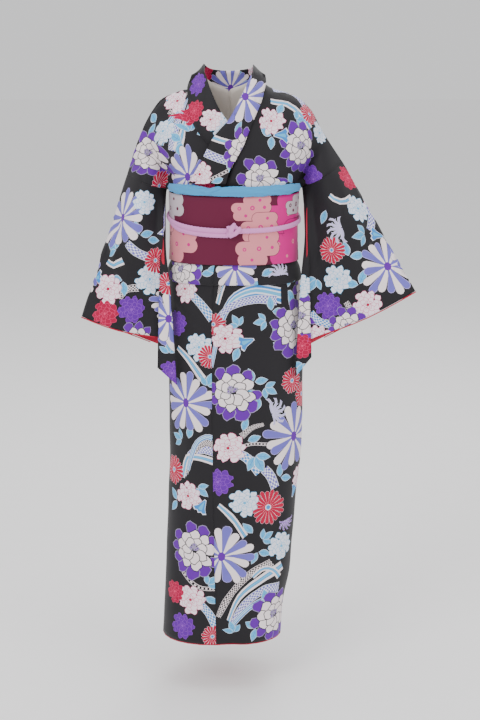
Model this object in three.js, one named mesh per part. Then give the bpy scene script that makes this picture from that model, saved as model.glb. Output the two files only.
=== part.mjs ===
import * as THREE from 'three';

// Kimono with its tied belt, as worn. Millimetres, +Z up, the front faces -Y, +X is the wearer's left.
// The origin is at the base of the neck, between the shoulders.

const WALL = 1.6;
const COLLAR_WALL = 2.2;
const BELT_WALL = 2.8;
const SEAM = 0.15;
const SEAM_TURN = 0.07;
const SQUARENESS = 2.4;
const FOOT = -226;

// Body sections: height, centre, half width, front depth, back depth.
const SECTIONS = [
  [FOOT, 1, 144, 108, 84],
  [-305, 0, 143, 112, 86],
  [-383, 0, 144, 114, 90],
  [-427, 2, 149, 116, 94],
  [-560, 4, 155, 116, 100],
  [-690, 4.5, 156, 116, 102],
  [-815, 4, 155, 116, 101],
  [-955, -4.5, 150.5, 115, 100],
  [-1060, -11, 149, 114, 100],
  [-1135, -15, 148, 113, 99],
  [-1218, -25, 142, 112, 98],
  [-1300, -30, 142, 112, 98],
];
const COL = { z: 0, centre: 1, half: 2, front: 3, back: 4 };

// Front overlap seam: height, sideways place.
const OVERLAP_SEAM = [
  [FOOT, -24],
  [-400, -44],
  [-580, -50],
  [-1000, -47],
  [-1300, -43],
];

// Shoulder line of the wearer's left and right: sideways place, height.
const RIDGE_LEFT = [[46, 50], [62, 26], [89, 10], [116, 3], [149, -15], [176, -42], [196, -78], [220, -116], [252, -163]];
const RIDGE_RIGHT = [[-66, 50], [-82, 24], [-98, 6], [-116, 2], [-153, -11], [-175, -28], [-203, -72], [-228, -130], [-247, -190]];

// Where the cloth meets the collar, front: share of the drop, sideways place, height.
const NECK_LEFT = [[0, 53, 42], [0.1, 60, 22], [0.22, 58, -8], [0.36, 46, -40], [0.52, 26, -82], [0.7, 12, -122], [0.85, -4, -165], [0.94, -16, -200], [1, -24, FOOT]];
const NECK_RIGHT = [[0, -70, 50], [0.1, -84, 22], [0.22, -92, -8], [0.36, -90, -44], [0.52, -76, -82], [0.7, -40, -122], [0.85, -5, -165], [0.94, 25, -200], [1, 50, FOOT]];
// And at the back: share of the drop, sideways place, height, depth.
const NECK_BACK_LEFT = [[0, 53, 42, 0], [0.12, 47, 30, 38], [0.24, 24, 14, 72], [0.36, -11.7, -4, 88], [0.6, -5, -90, 88], [1, 1.6, FOOT, 84]];
const NECK_BACK_RIGHT = [[0, -70, 50, 0], [0.12, -68, 34, 38], [0.24, -46, 14, 72], [0.36, -12.3, -4, 88], [0.6, -5.6, -90, 88], [1, 0.4, FOOT, 84]];

// How far the cloth stands forward and back at a drop below the shoulder line.
const FRONT_SWELL = [[0, 0], [6, 18], [18, 34], [40, 54], [70, 74], [110, 92], [160, 104], [230, 109], [400, 109]];
const BACK_SWELL = [[0, 0], [6, 20], [18, 40], [40, 60], [70, 76], [120, 86], [200, 86], [400, 84]];
const ARM_SWELL = 60;
const ARM_BACK = 8;
const ARMHOLE_END = 0.88;

// Distance of each layer from the body sections.
const UNDER = 0;
const OVER = 3.2;
const CHEST_OVER = 7;
const RIGHT_COLLAR_OUT = 4.6;
const LEFT_COLLAR_OUT = 12.4;
const BELT_OUT = 3.2;
const CORD_OUT = 7.9;
const SASH_OUT = 10.9;

// Front fold of the skirt: a shallow valley beside the overlap seam.
const VALLEY_TOP = -780;
const VALLEY_DEPTH = 7;
const VALLEY_TURN = 9;
const VALLEY_WIDTH = 9;

// Tuck below the belt: height, distance out, when folded, and the plain path of the hidden front.
const TUCK = [
  [-384.5, 0, -384.5],
  [-392, 3, -392],
  [-400, 5.6, -400],
  [-427, 6.2, -408],
  [-429, 3.3, -414],
  [-406, 2.9, -420],
  [-405, 0, -428],
  [-437, 0, -437],
];
const BELT_ROWS = [FOOT, -265, -305, -352];
const SKIRT_ROWS = [-500, -600, -720, -850, -970, -1080, -1180, -1245, -1300];

const FRONT_DROP = [0, 0.02, 0.06, 0.13, 0.22, 0.34, 0.47, 0.6, 0.72, 0.82, 0.88, 0.94];
const BACK_DROP = [0.02, 0.07, 0.15, 0.25, 0.37, 0.5, 0.66, 0.8, 0.88, 0.94];

const lerp = (a, b, t) => a + (b - a) * t;
const clamp01 = (t) => Math.min(1, Math.max(0, t));
const smooth = (t) => {
  const c = clamp01(t);
  return c * c * (3 - 2 * c);
};
const rad = (degrees) => (degrees * Math.PI) / 180;

function table(rows, key, column, value) {
  const rising = rows[rows.length - 1][key] > rows[0][key];
  const at = (row) => (rising ? row[key] : -row[key]);
  const v = rising ? value : -value;
  if (v <= at(rows[0])) return rows[0][column];
  for (let i = 1; i < rows.length; i++) {
    if (v <= at(rows[i])) {
      const t = (v - at(rows[i - 1])) / (at(rows[i]) - at(rows[i - 1]));
      return lerp(rows[i - 1][column], rows[i][column], t);
    }
  }
  return rows[rows.length - 1][column];
}

const section = (z, name) => table(SECTIONS, COL.z, COL[name], z);

function valley(turn, z) {
  const deep = smooth((VALLEY_TOP - z) / 350);
  const off = (turn - VALLEY_TURN + seamTurn(z)) / VALLEY_WIDTH;
  return -VALLEY_DEPTH * deep * Math.exp(-off * off);
}

function seamTurn(z) {
  const off = (section(z, 'centre') - table(OVERLAP_SEAM, 0, 1, z)) / section(z, 'half');
  return (Math.asin(Math.pow(clamp01(off), SQUARENESS / 2)) * 180) / Math.PI;
}

// A point round the body: turn 0 is the middle of the front, 90 the wearer's left.
function ring(turn, z, out) {
  const s = Math.sin(rad(turn));
  const c = Math.cos(rad(turn));
  const power = 2 / SQUARENESS;
  const deep = c > 0 ? section(z, 'front') : section(z, 'back');
  const d = out + (c > 0 ? valley(turn, z) : 0);
  const x = section(z, 'centre') + (section(z, 'half') + out) * Math.sign(s) * Math.pow(Math.abs(s), power);
  const y = -Math.sign(c) * (deep + d) * Math.pow(Math.abs(c), power);
  return new THREE.Vector3(x, y, z);
}

// How far out the outermost kimono layer lies round the body.
function layerOut(turn) {
  if (turn > 76) return OVER * (1 - smooth((turn - 76) / 17));
  if (turn > -84) return OVER;
  return OVER * (1 - smooth((-84 - turn) / 10));
}

const between = (from, to, count) => Array.from({ length: count + 1 }, (_, i) => lerp(from, to, i / count));
const LEFT_SIDE = 93;
const RIGHT_SIDE = -87;
const OVERLAP_EDGE = -82;
const UNDER_SEAM = 20;
const UNDER_EDGE = 74;

function leftTurns(z) {
  const seam = -seamTurn(z);
  return [...between(seam + SEAM_TURN, UNDER_SEAM, 4), ...between(UNDER_SEAM, UNDER_EDGE + 2, 5).slice(1), 84, LEFT_SIDE - SEAM_TURN];
}
function rightTurns(z) {
  const seam = -seamTurn(z);
  const over = between(OVERLAP_EDGE, seam, 6);
  return [RIGHT_SIDE + SEAM_TURN, ...over, ...between(seam, UNDER_SEAM - SEAM_TURN, 4).slice(1)].reverse();
}
const backTurns = (side) =>
  side > 0 ? between(LEFT_SIDE + SEAM_TURN, 180 - SEAM_TURN, 11).reverse() : between(RIGHT_SIDE - SEAM_TURN, -180 + SEAM_TURN, 11).reverse();

const COLUMNS = 12;
const ACROSS_FRONT_LEFT = [0, 0.1, 0.2, 0.31, 0.42, 0.53, 0.63, 0.72, 0.8, 0.87, 0.94, 1];
const ACROSS_FRONT_RIGHT = [0, 0.1, 0.2, 0.31, 0.42, 0.53, 0.63, 0.72, 0.8, 0.87, 0.94, 1];
const ACROSS_BACK = [0, 0.1, 0.2, 0.31, 0.42, 0.53, 0.63, 0.72, 0.8, 0.87, 0.94, 1];

function ridge(side, u) {
  const rows = side > 0 ? RIDGE_LEFT : RIDGE_RIGHT;
  const at = u * (rows.length - 1);
  const i = Math.min(rows.length - 2, Math.floor(at));
  return [lerp(rows[i][0], rows[i + 1][0], at - i), lerp(rows[i][1], rows[i + 1][1], at - i)];
}

function ridgeHeight(x) {
  if (x > -66 && x < 46) return 58 - 0.0012 * (x + 10) * (x + 10);
  return x > 0 ? table(RIDGE_LEFT, 0, 1, x) : table(RIDGE_RIGHT, 0, 1, x);
}

function chestDepth(x, z, swell) {
  const drop = Math.max(0, ridgeHeight(x) - z);
  const half = lerp(146, 205, smooth((z - FOOT) / 150));
  const across = Math.pow(Math.max(0, 1 - Math.pow(Math.min(1, Math.abs(x) / half), SQUARENESS)), 1 / SQUARENESS);
  return table(swell, 0, 1, drop) * across;
}

const armholeArc = (h) => Math.sin(Math.PI * clamp01(h / ARMHOLE_END));

// A point of the upper body. side 1 is the wearer's left; front 1 faces -Y; h runs down from the shoulder.
function upper(side, front, u, h, foot, out) {
  const neck = front > 0 ? (side > 0 ? NECK_LEFT : NECK_RIGHT) : side > 0 ? NECK_BACK_LEFT : NECK_BACK_RIGHT;
  const [rx, rz] = ridge(side, u);
  const [nx, nz] = ridge(side, 0);
  const low = foot(0);
  const end = foot(u);
  const fade = Math.pow(1 - u, 1.3);
  const x = lerp(rx, end.x, h) + fade * (table(neck, 0, 1, h) - lerp(nx, low.x, h));
  const z = lerp(rz, end.z, h) + fade * (table(neck, 0, 2, h) - lerp(nz, low.z, h));
  const arm = smooth((u - 0.55) / 0.45);
  const swell = front > 0 ? FRONT_SWELL : BACK_SWELL;
  const crease = 15 * Math.exp(-Math.pow((u - 0.76) / 0.09, 2)) * smooth((h - 0.12) / 0.3) * (1 - smooth((h - 0.8) / 0.2));
  const torso = chestDepth(x, z, swell);
  const sleeve = -front * ARM_BACK * (1 - h) + ARM_SWELL * (front > 0 ? 1 : 0.85) * armholeArc(h);
  let depth = lerp(torso, sleeve, arm) - crease;
  if (front < 0) depth = lerp(depth, table(neck, 0, 3, h), Math.pow(1 - u, 6));
  const settle = smooth((h - 0.7) / 0.3);
  const lift = out * (1 - settle) * smooth(h / 0.12) * (1 - arm);
  depth = lerp(depth, Math.abs(end.y) * Math.sign(-front * end.y || 1), settle) + lift;
  return new THREE.Vector3(x, -front * depth, z);
}

function gridNormals(grid, closed) {
  const rows = grid.length;
  const cols = grid[0].length;
  const quads = grid.slice(1).map(() => []);
  const lastCol = closed ? cols : cols - 1;
  for (let i = 0; i + 1 < rows; i++) {
    for (let j = 0; j < lastCol; j++) {
      const k = (j + 1) % cols;
      const a = new THREE.Vector3().subVectors(grid[i + 1][k], grid[i][j]);
      const b = new THREE.Vector3().subVectors(grid[i + 1][j], grid[i][k]);
      quads[i].push(a.cross(b).normalize());
    }
  }
  return grid.map((row, i) =>
    row.map((_, j) => {
      const near = [];
      for (const r of [i - 1, i]) {
        if (r < 0 || r >= quads.length) continue;
        for (const c of [j - 1, j]) {
          const w = closed ? (c + cols) % cols : c;
          if (w >= 0 && w < lastCol) near.push(quads[r][w]);
        }
      }
      const n = new THREE.Vector3();
      near.forEach((q) => n.add(q));
      n.normalize();
      const least = Math.min(...near.map((q) => q.dot(n)));
      return n.multiplyScalar(1 / Math.max(0.6, least));
    }),
  );
}

// A closed wall round a grid of points, half its thickness to each side.
function wall(grid, thick, closed = false) {
  const rows = grid.length;
  const cols = grid[0].length;
  const normals = gridNormals(grid, closed);
  const points = [];
  const faces = [];
  for (const sign of [1, -1]) {
    grid.forEach((row, i) =>
      row.forEach((p, j) => {
        const q = p.clone().addScaledVector(normals[i][j], (sign * thick) / 2);
        points.push(q.x, q.y, q.z);
      }),
    );
  }
  const at = (layer, i, j) => layer * rows * cols + i * cols + (j % cols);
  const quad = (a, b, c, d) => faces.push(a, b, c, a, c, d);
  const lastCol = closed ? cols : cols - 1;
  for (let i = 0; i + 1 < rows; i++) {
    for (let j = 0; j < lastCol; j++) {
      quad(at(0, i, j), at(0, i + 1, j), at(0, i + 1, j + 1), at(0, i, j + 1));
      quad(at(1, i, j), at(1, i, j + 1), at(1, i + 1, j + 1), at(1, i + 1, j));
    }
  }
  for (let j = 0; j < lastCol; j++) {
    quad(at(0, 0, j), at(0, 0, j + 1), at(1, 0, j + 1), at(1, 0, j));
    quad(at(0, rows - 1, j), at(1, rows - 1, j), at(1, rows - 1, j + 1), at(0, rows - 1, j + 1));
  }
  if (!closed) {
    for (let i = 0; i + 1 < rows; i++) {
      quad(at(0, i, 0), at(1, i, 0), at(1, i + 1, 0), at(0, i + 1, 0));
      quad(at(0, i, cols - 1), at(0, i + 1, cols - 1), at(1, i + 1, cols - 1), at(1, i, cols - 1));
    }
  }
  const geometry = new THREE.BufferGeometry();
  geometry.setAttribute('position', new THREE.Float32BufferAttribute(points, 3));
  geometry.setIndex(faces);
  return outward(geometry);
}

// A closed tube through rings of points, capped unless it runs back to its start.
function tube(rings, loop = false) {
  const points = rings.flat().flatMap((p) => [p.x, p.y, p.z]);
  const sides = rings[0].length;
  const faces = [];
  const steps = loop ? rings.length : rings.length - 1;
  for (let i = 0; i < steps; i++) {
    const next = (i + 1) % rings.length;
    for (let j = 0; j < sides; j++) {
      const k = (j + 1) % sides;
      const [a, b, c, d] = [i * sides + j, i * sides + k, next * sides + k, next * sides + j];
      faces.push(a, b, c, a, c, d);
    }
  }
  if (!loop) {
    const last = (rings.length - 1) * sides;
    for (let j = 1; j + 1 < sides; j++) {
      faces.push(0, j + 1, j, last, last + j, last + j + 1);
    }
  }
  const geometry = new THREE.BufferGeometry();
  geometry.setAttribute('position', new THREE.Float32BufferAttribute(points, 3));
  geometry.setIndex(faces);
  return outward(geometry);
}

// Turns the faces of a closed body to the outside.
function outward(geometry) {
  const p = geometry.getAttribute('position');
  const index = Array.from(geometry.getIndex().array);
  const a = new THREE.Vector3();
  const b = new THREE.Vector3();
  const c = new THREE.Vector3();
  let volume = 0;
  for (let i = 0; i < index.length; i += 3) {
    a.fromBufferAttribute(p, index[i]);
    b.fromBufferAttribute(p, index[i + 1]);
    c.fromBufferAttribute(p, index[i + 2]);
    volume += a.dot(b.cross(c));
  }
  if (volume < 0) {
    for (let i = 0; i < index.length; i += 3) {
      [index[i + 1], index[i + 2]] = [index[i + 2], index[i + 1]];
    }
    geometry.setIndex(index);
  }
  geometry.computeVertexNormals();
  return geometry;
}

const chestLift = (side) => (side > 0 ? CHEST_OVER : UNDER);

// Half of a body panel from the shoulder down, front or back.
function bodyHalf(side, front) {
  const turns = (z) => (front > 0 ? (side > 0 ? leftTurns(z) : rightTurns(z)) : backTurns(side));
  const across = front > 0 ? (side > 0 ? ACROSS_FRONT_LEFT : ACROSS_FRONT_RIGHT) : ACROSS_BACK;
  const plain = side < 0 && front > 0;
  const base = (turn) => (front > 0 && side > 0 ? layerOut(turn) : UNDER);
  const rowAt = (z, out) => turns(z).map((turn) => ring(turn, z, base(turn) + out));
  const top = rowAt(FOOT, 0);
  const foot = (u) => {
    const at = across.findIndex((v) => v >= u);
    const i = Math.max(1, at);
    return new THREE.Vector3().lerpVectors(top[i - 1], top[i], (u - across[i - 1]) / (across[i] - across[i - 1]));
  };
  const rows = (front > 0 ? FRONT_DROP : BACK_DROP).map((h) =>
    across.map((u) => upper(side, front, u, h, foot, front > 0 ? chestLift(side) : 0)),
  );
  BELT_ROWS.forEach((z) => rows.push(rowAt(z, 0)));
  TUCK.forEach(([z, out, plainZ]) => rows.push(plain ? rowAt(plainZ, 0) : rowAt(z, out)));
  SKIRT_ROWS.forEach((z) => rows.push(rowAt(z, 0)));
  return rows;
}

const bodyPanel = (side) => [...bodyHalf(side, -1).reverse(), ...bodyHalf(side, 1)];

function overlapPanel(side) {
  const rows = [];
  const add = (z, out) => {
    const seam = -seamTurn(z);
    if (side > 0) {
      rows.push(between(OVERLAP_EDGE, seam - SEAM_TURN, 6).map((turn) => ring(turn, z, OVER + out)));
    } else {
      rows.push(between(UNDER_SEAM + SEAM_TURN, UNDER_EDGE, 5).map((turn) => ring(turn, z, UNDER + out)));
    }
  };
  add(-352, 0);
  TUCK.forEach(([z, out, plainZ]) => (side > 0 ? add(z, out) : add(plainZ, 0)));
  SKIRT_ROWS.forEach((z) => add(z, 0));
  return rows;
}

// Sleeves: the cuff corner, then the pleat's hidden turn, outer edge and inner edge at the cuff.
const SLEEVES = {
  left: { side: 1, top: [252, -163], cuff: [416, -85, -448], turn: [166, -80, -566], outer: [179, -80, -603], inner: [143, -80, -648] },
  right: { side: -1, top: [-247, -190], cuff: [-350, -85, -507], turn: [-154, -82, -560], outer: [-177, -82, -627], inner: [-133, -82, -668] },
};
const SLEEVE_ROWS = [0, 0.07, 0.15, 0.25, 0.38, 0.52, 0.66, 0.8, 0.91, 1];
const SLEEVE_GAP = 1;
const PLEAT_STEP = 3;
const CUFF_SAG = 4;
const FRONT_BULGE = [[0, 58], [0.5, 44], [0.8, 34], [1, 24]];
const BACK_BULGE = [[0, 50], [0.5, 40], [0.8, 32], [1, 24]];
const MAIN_STEPS = 7;

function sleeveRing(sleeve, s) {
  const half = sleeve.side > 0 ? leftTurns(FOOT) : rightTurns(FOOT);
  const foot = ring(half[half.length - 1], FOOT, 0);
  const hole = (h, front) => {
    const x = lerp(sleeve.top[0], foot.x, h);
    const z = lerp(sleeve.top[1], foot.z, h);
    const y = ARM_BACK * (1 - h) - front * ARM_SWELL * (front > 0 ? 1 : 0.85) * armholeArc(h);
    return new THREE.Vector3(x, y, z);
  };
  const v = (p) => new THREE.Vector3(...p);
  const root = new THREE.Vector3(sleeve.top[0], ARM_BACK, sleeve.top[1]);
  const pit = hole(0.8, 1).setY(-14);
  const top = new THREE.Vector3().lerpVectors(root, v(sleeve.cuff), s);
  const turn = new THREE.Vector3().lerpVectors(pit, v(sleeve.turn), s);
  const spread = smooth(s / 0.45);
  turn.y = lerp(pit.y, sleeve.turn[1], spread);
  const outer = new THREE.Vector3().lerpVectors(hole(0.8, 1), v(sleeve.outer), s);
  const inner = new THREE.Vector3().lerpVectors(hole(0.86, 1), v(sleeve.inner), s);
  outer.x = lerp(turn.x, outer.x, spread);
  inner.x = lerp(turn.x - sleeve.side * 3, inner.x, smooth((s - 0.2) / 0.35));
  const shape = [];
  const holes = [];
  const sag = (e) => -CUFF_SAG * s * Math.sin(Math.PI * e);
  for (let i = 0; i <= MAIN_STEPS; i++) {
    const e = i / MAIN_STEPS;
    const p = new THREE.Vector3().lerpVectors(top, turn, e);
    p.y -= table(FRONT_BULGE, 0, 1, s) * Math.sin(Math.PI * Math.min(1, e / 0.86));
    p.z += sag(e);
    shape.push(p);
    holes.push(hole(0.74 * e, 1));
  }
  const front = turn.y;
  const layer = (p, steps) => new THREE.Vector3(p.x, front - steps * PLEAT_STEP, p.z);
  const back = new THREE.Vector3().lerpVectors(turn, outer, 0.25);
  back.x = lerp(turn.x, outer.x, 0.6);
  const behind = layer(new THREE.Vector3().lerpVectors(inner, outer, 0.55), -1.2);
  shape.push(layer(turn, 1), layer(outer, 1.15), layer(outer, 2.2), layer(inner, 2.4), layer(inner, -1), behind);
  [0.76, 0.79, 0.81, 0.84, 0.87, 0.88].forEach((h) => holes.push(hole(h, 1)));
  for (let i = 0; i < MAIN_STEPS; i++) {
    const e = i / MAIN_STEPS;
    const p = new THREE.Vector3().lerpVectors(layer(back, -2.2), top, e);
    p.y += table(BACK_BULGE, 0, 1, s) * Math.sin(Math.PI * e);
    p.z += sag(e);
    shape.push(p);
    holes.push(hole(0.86 * (1 - e), -1));
  }
  const leave = smooth(s / 0.3);
  const axis = new THREE.Vector3().subVectors(v(sleeve.cuff), root).normalize();
  return shape.map((p, i) => new THREE.Vector3().lerpVectors(holes[i], p, leave).addScaledVector(axis, SLEEVE_GAP));
}

// Collar: rows of inner edge (x, y, z) and seam edge (x, y, z). Depths of the front rows come from the chest.
const COLLAR_LEFT = [
  [-102, -200, -16, -200],
  [-88, -175, -8, -172],
  [-72, -147, 4, -146],
  [-50, -103, 20, -117],
  [-30, -78, 29, -94],
  [-11, -58, 38, -72],
  [6, -28, 50, -44],
  [18, -4, 62, -16],
  [30, 20, 67, 8],
  [40, 42, 64, 30],
];
const COLLAR_NAPE = [
  [44, 14, 60, 62, 16, 42],
  [44, 44, 56, 56, 50, 30],
  [28, 76, 48, 36, 82, 4],
  [-12, 92, 44, -12, 96, -14],
  [-50, 76, 48, -60, 82, 4],
  [-66, 44, 58, -78, 50, 30],
  [-68, 14, 62, -84, 16, 42],
];
const COLLAR_RIGHT = [
  [-64, 42, -89, 30],
  [-57, 20, -97, 8],
  [-49, 0, -102, -18],
  [-40, -20, -98, -44],
  [-28, -42, -88, -74],
  [-11, -64, -68, -100],
  [10, -90, -46, -124],
  [24, -106, -30, -140],
];
const COLLAR_STEPS = 4;
const COLLAR_LIFT = 6;
const COLLAR_SPREAD = 1.5;

function collarGrid() {
  const rows = [];
  const frontRow = (row, out) => {
    rows.push(
      between(0, 1, COLLAR_STEPS).map((t) => {
        const x = lerp(row[0], row[2], t);
        const z = lerp(row[1], row[3], t);
        const near = smooth((ridgeHeight(x) - z) / 24);
        const lift = COLLAR_LIFT * (1 - near) + COLLAR_SPREAD * t;
        return new THREE.Vector3(x + Math.sign(x) * lift, -chestDepth(x, z, FRONT_SWELL) - out * near, z + lift);
      }),
    );
  };
  COLLAR_LEFT.forEach((row) => frontRow(row, LEFT_COLLAR_OUT));
  COLLAR_NAPE.forEach((row) => {
    rows.push(
      between(0, 1, COLLAR_STEPS).map(
        (t) => new THREE.Vector3(lerp(row[0], row[3], t), lerp(row[1], row[4], t) + 4 * Math.sin(Math.PI * t), lerp(row[2], row[5], t)),
      ),
    );
  });
  COLLAR_RIGHT.forEach((row) => frontRow(row, RIGHT_COLLAR_OUT));
  return rows;
}

// Belt parts.
const BELT_TOP = -227;
const BELT_BOTTOM = -383;
const BELT_HEIGHTS = [BELT_TOP, -268, -305, -345, BELT_BOTTOM];
const DRUM_HALF_WIDTH = 150;
// Side view of the drum knot: depth, height.
const DRUM = [
  [98, -330],
  [98, -270],
  [99, -222],
  [106, -200],
  [122, -190],
  [146, -196],
  [162, -225],
  [169, -290],
  [170, -370],
  [163, -428],
  [148, -447],
  [130, -444],
  [119, -425],
  [116, -370],
];
const TAIL = [[113.4, -372], [113.4, -420], [115, -465], [119, -505], [123, -545]];
const KNOT_ACROSS = 6;

function allTurns(z) {
  const back = between(LEFT_SIDE, 180, 11);
  const left = leftTurns(z);
  const right = rightTurns(z).reverse().slice(1, -5);
  return [RIGHT_SIDE, ...right, ...left.slice(0, -1), ...back.slice(0, -1), ...between(-180, RIGHT_SIDE, 11).slice(0, -1)];
}

function knotSheet(profile) {
  return between(-DRUM_HALF_WIDTH, DRUM_HALF_WIDTH, KNOT_ACROSS).map((x) => {
    const bow = 5 * Math.pow(x / DRUM_HALF_WIDTH, 2);
    return profile.map(([y, z]) => new THREE.Vector3(x, y - bow * smooth((y - 120) / 30), z));
  });
}

// A rounded cord round the body: half height, half thickness and its path.
function cordRing(turns, halfHeight, halfThick, height, out, sides) {
  return turns.map((turn) => {
    const z = height(turn);
    return between(0, 360, sides)
      .slice(0, -1)
      .map((a) => ring(turn, z, out(turn) + halfThick * Math.cos(rad(a))).setZ(z + halfHeight * Math.sin(rad(a))));
  });
}

const SASH_END = 72;
const sashHeight = () => -215;
const cordHeight = (turn) => {
  const side = (1 - Math.cos(rad(turn))) / 2;
  return -305 + (turn < 0 ? 50 : 34) * Math.min(side, 0.6);
};

function ball(centre, half, rings = 7, sides = 10) {
  const rows = [];
  for (let i = 0; i <= rings; i++) {
    const a = lerp(8, 172, i / rings);
    rows.push(
      between(0, 360, sides)
        .slice(0, -1)
        .map((b) =>
          new THREE.Vector3(
            centre[0] - half[0] * Math.cos(rad(a)),
            centre[1] + half[1] * Math.sin(rad(a)) * Math.cos(rad(b)),
            centre[2] + half[2] * Math.sin(rad(a)) * Math.sin(rad(b)),
          ),
        ),
    );
  }
  return tube(rows);
}

const group = new THREE.Group();
group.name = 'kimono';
const material = (name, colour, roughness) => new THREE.MeshStandardMaterial({ name, color: colour, roughness, metalness: 0 });
const MATERIALS = {
  print: material('printed_silk', 0x333034, 0.6),
  belt: material('belt_brocade', 0x73233f, 0.7),
  sash: material('sash_crepe', 0x64afd7, 0.8),
  cord: material('braided_cord', 0xe1afd7, 0.7),
  lining: material('lining_silk', 0xbe143c, 0.6),
};
function add(name, geometry, slot) {
  const mesh = new THREE.Mesh(geometry, MATERIALS[slot]);
  mesh.name = name;
  group.add(mesh);
}

// Thin strip of lining below an edge: a row of points, dropped by its gap.
const EDGE_GAP = 0.3;
const EDGE_DEEP = 2.2;
function edgeStrip(row, away, closed = false) {
  const step = (d) => row.map((p, i) => p.clone().addScaledVector(away(i), d));
  return wall([step(EDGE_GAP), step(EDGE_GAP + EDGE_DEEP)], WALL, closed);
}

const bodyLeft = bodyPanel(1);
const bodyRight = bodyPanel(-1);
const overlapLeft = overlapPanel(1);
const overlapRight = overlapPanel(-1);
const down = () => new THREE.Vector3(0, 0, -1);
add('body_left', wall(bodyLeft, WALL), 'print');
add('body_right', wall(bodyRight, WALL), 'print');
add('overlap_left', wall(overlapLeft, WALL), 'print');
add('overlap_right', wall(overlapRight, WALL), 'print');
for (const name of ['left', 'right']) {
  const rings = SLEEVE_ROWS.map((s) => sleeveRing(SLEEVES[name], s));
  add(`sleeve_${name}`, wall(rings, WALL, true), 'print');
  const last = rings[rings.length - 1];
  const before = rings[rings.length - 2];
  const open = [...last.keys()].slice(-MAIN_STEPS + 1).concat([...last.keys()].slice(0, MAIN_STEPS));
  const away = (i) => new THREE.Vector3().subVectors(last[open[i]], before[open[i]]).normalize();
  add(`cuff_lining_${name}`, edgeStrip(open.map((i) => last[i]), away), 'lining');
}
add('collar', wall(collarGrid(), COLLAR_WALL), 'print');
add('hem_lining_left', edgeStrip([...overlapLeft.at(-1), ...bodyLeft.at(-1)], down), 'lining');
add('hem_lining_back_left', edgeStrip(bodyLeft[0], down), 'lining');
add('hem_lining_right', edgeStrip([...bodyRight.at(-1)], down), 'lining');
add('hem_lining_back_right', edgeStrip(bodyRight[0], down), 'lining');
add('belt', wall(BELT_HEIGHTS.map((z) => allTurns(z).map((turn) => ring(turn, z, layerOut(turn) + BELT_OUT))), BELT_WALL, true), 'belt');
add('belt_drum', wall(knotSheet(DRUM), BELT_WALL), 'belt');
add('belt_tail', wall(knotSheet(TAIL), WALL), 'belt');
add('sash', tube(cordRing(between(-SASH_END, SASH_END, 18), 10.6, 3.8, sashHeight, () => SASH_OUT, 8)), 'sash');
add('cord', tube(cordRing(allTurns(-305), 6, 2.8, cordHeight, (turn) => layerOut(turn) + CORD_OUT, 8), true), 'cord');
const cordFront = ring(0, -305, OVER + CORD_OUT + 2.8);
add('cord_knot', ball([cordFront.x, cordFront.y - 7.6, -305], [15, 7, 13]), 'cord');

export default group;
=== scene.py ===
import math

import bmesh
import bpy
import numpy as np
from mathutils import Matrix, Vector
from mathutils.bvhtree import BVHTree
from mathutils.geometry import delaunay_2d_cdt


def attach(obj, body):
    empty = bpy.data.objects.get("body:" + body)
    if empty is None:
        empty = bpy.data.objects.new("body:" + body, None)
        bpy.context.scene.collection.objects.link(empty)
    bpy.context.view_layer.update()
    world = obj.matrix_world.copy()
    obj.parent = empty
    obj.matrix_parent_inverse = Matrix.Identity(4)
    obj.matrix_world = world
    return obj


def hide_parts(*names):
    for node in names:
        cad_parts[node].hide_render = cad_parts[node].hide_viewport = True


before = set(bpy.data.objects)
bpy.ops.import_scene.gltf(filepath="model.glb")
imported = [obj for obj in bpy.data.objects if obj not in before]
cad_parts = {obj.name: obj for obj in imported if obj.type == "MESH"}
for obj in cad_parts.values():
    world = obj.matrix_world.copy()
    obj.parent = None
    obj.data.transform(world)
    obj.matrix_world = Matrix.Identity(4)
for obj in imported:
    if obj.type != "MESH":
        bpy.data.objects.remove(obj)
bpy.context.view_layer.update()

# The garment's surfaces are worked out in millimetres and built in metres.
MM = 0.001
THICK = 1.3
SQUARENESS = 2.4
FOOT = -226.0
TUCK_START = -384.5
TUCK_END = -437.0
HEM = -1300.0
OVER = 3.2
CHEST_OVER = 7.0
SEAM_TURN = 0.012
LEFT_SIDE = 93.0
RIGHT_SIDE = -87.0
OVERLAP_EDGE = -82.0
UNDER_SEAM = 20.0
UNDER_EDGE = 74.0
SIDE_TURN = 84.0
LAYER_END_LEFT = 76.0
LAYER_END_RIGHT = -84.0

# Body sections: height, centre, half width, front depth, back depth.
SECTIONS = [
    (FOOT, 1, 144, 108, 84),
    (-305, 0, 143, 112, 86),
    (-383, 0, 144, 114, 90),
    (-427, 2, 149, 116, 94),
    (-560, 4, 155, 116, 100),
    (-690, 4.5, 156, 116, 102),
    (-815, 4, 155, 116, 101),
    (-955, -4.5, 150.5, 115, 100),
    (-1060, -11, 149, 114, 100),
    (-1135, -15, 148, 113, 99),
    (-1218, -25, 142, 112, 98),
    (HEM, -30, 142, 112, 98),
]
OVERLAP_SEAM = [(FOOT, -24), (-400, -44), (-580, -50), (-1000, -47), (HEM, -43)]
RIDGE_LEFT = [
    (46, 50), (62, 26), (89, 10), (116, 3), (149, -15), (176, -42), (196, -78), (220, -116),
    (252, -163),
]
RIDGE_RIGHT = [
    (-66, 50), (-82, 24), (-98, 6), (-116, 2), (-153, -11), (-175, -28), (-203, -72), (-228, -130),
    (-247, -190),
]
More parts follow.
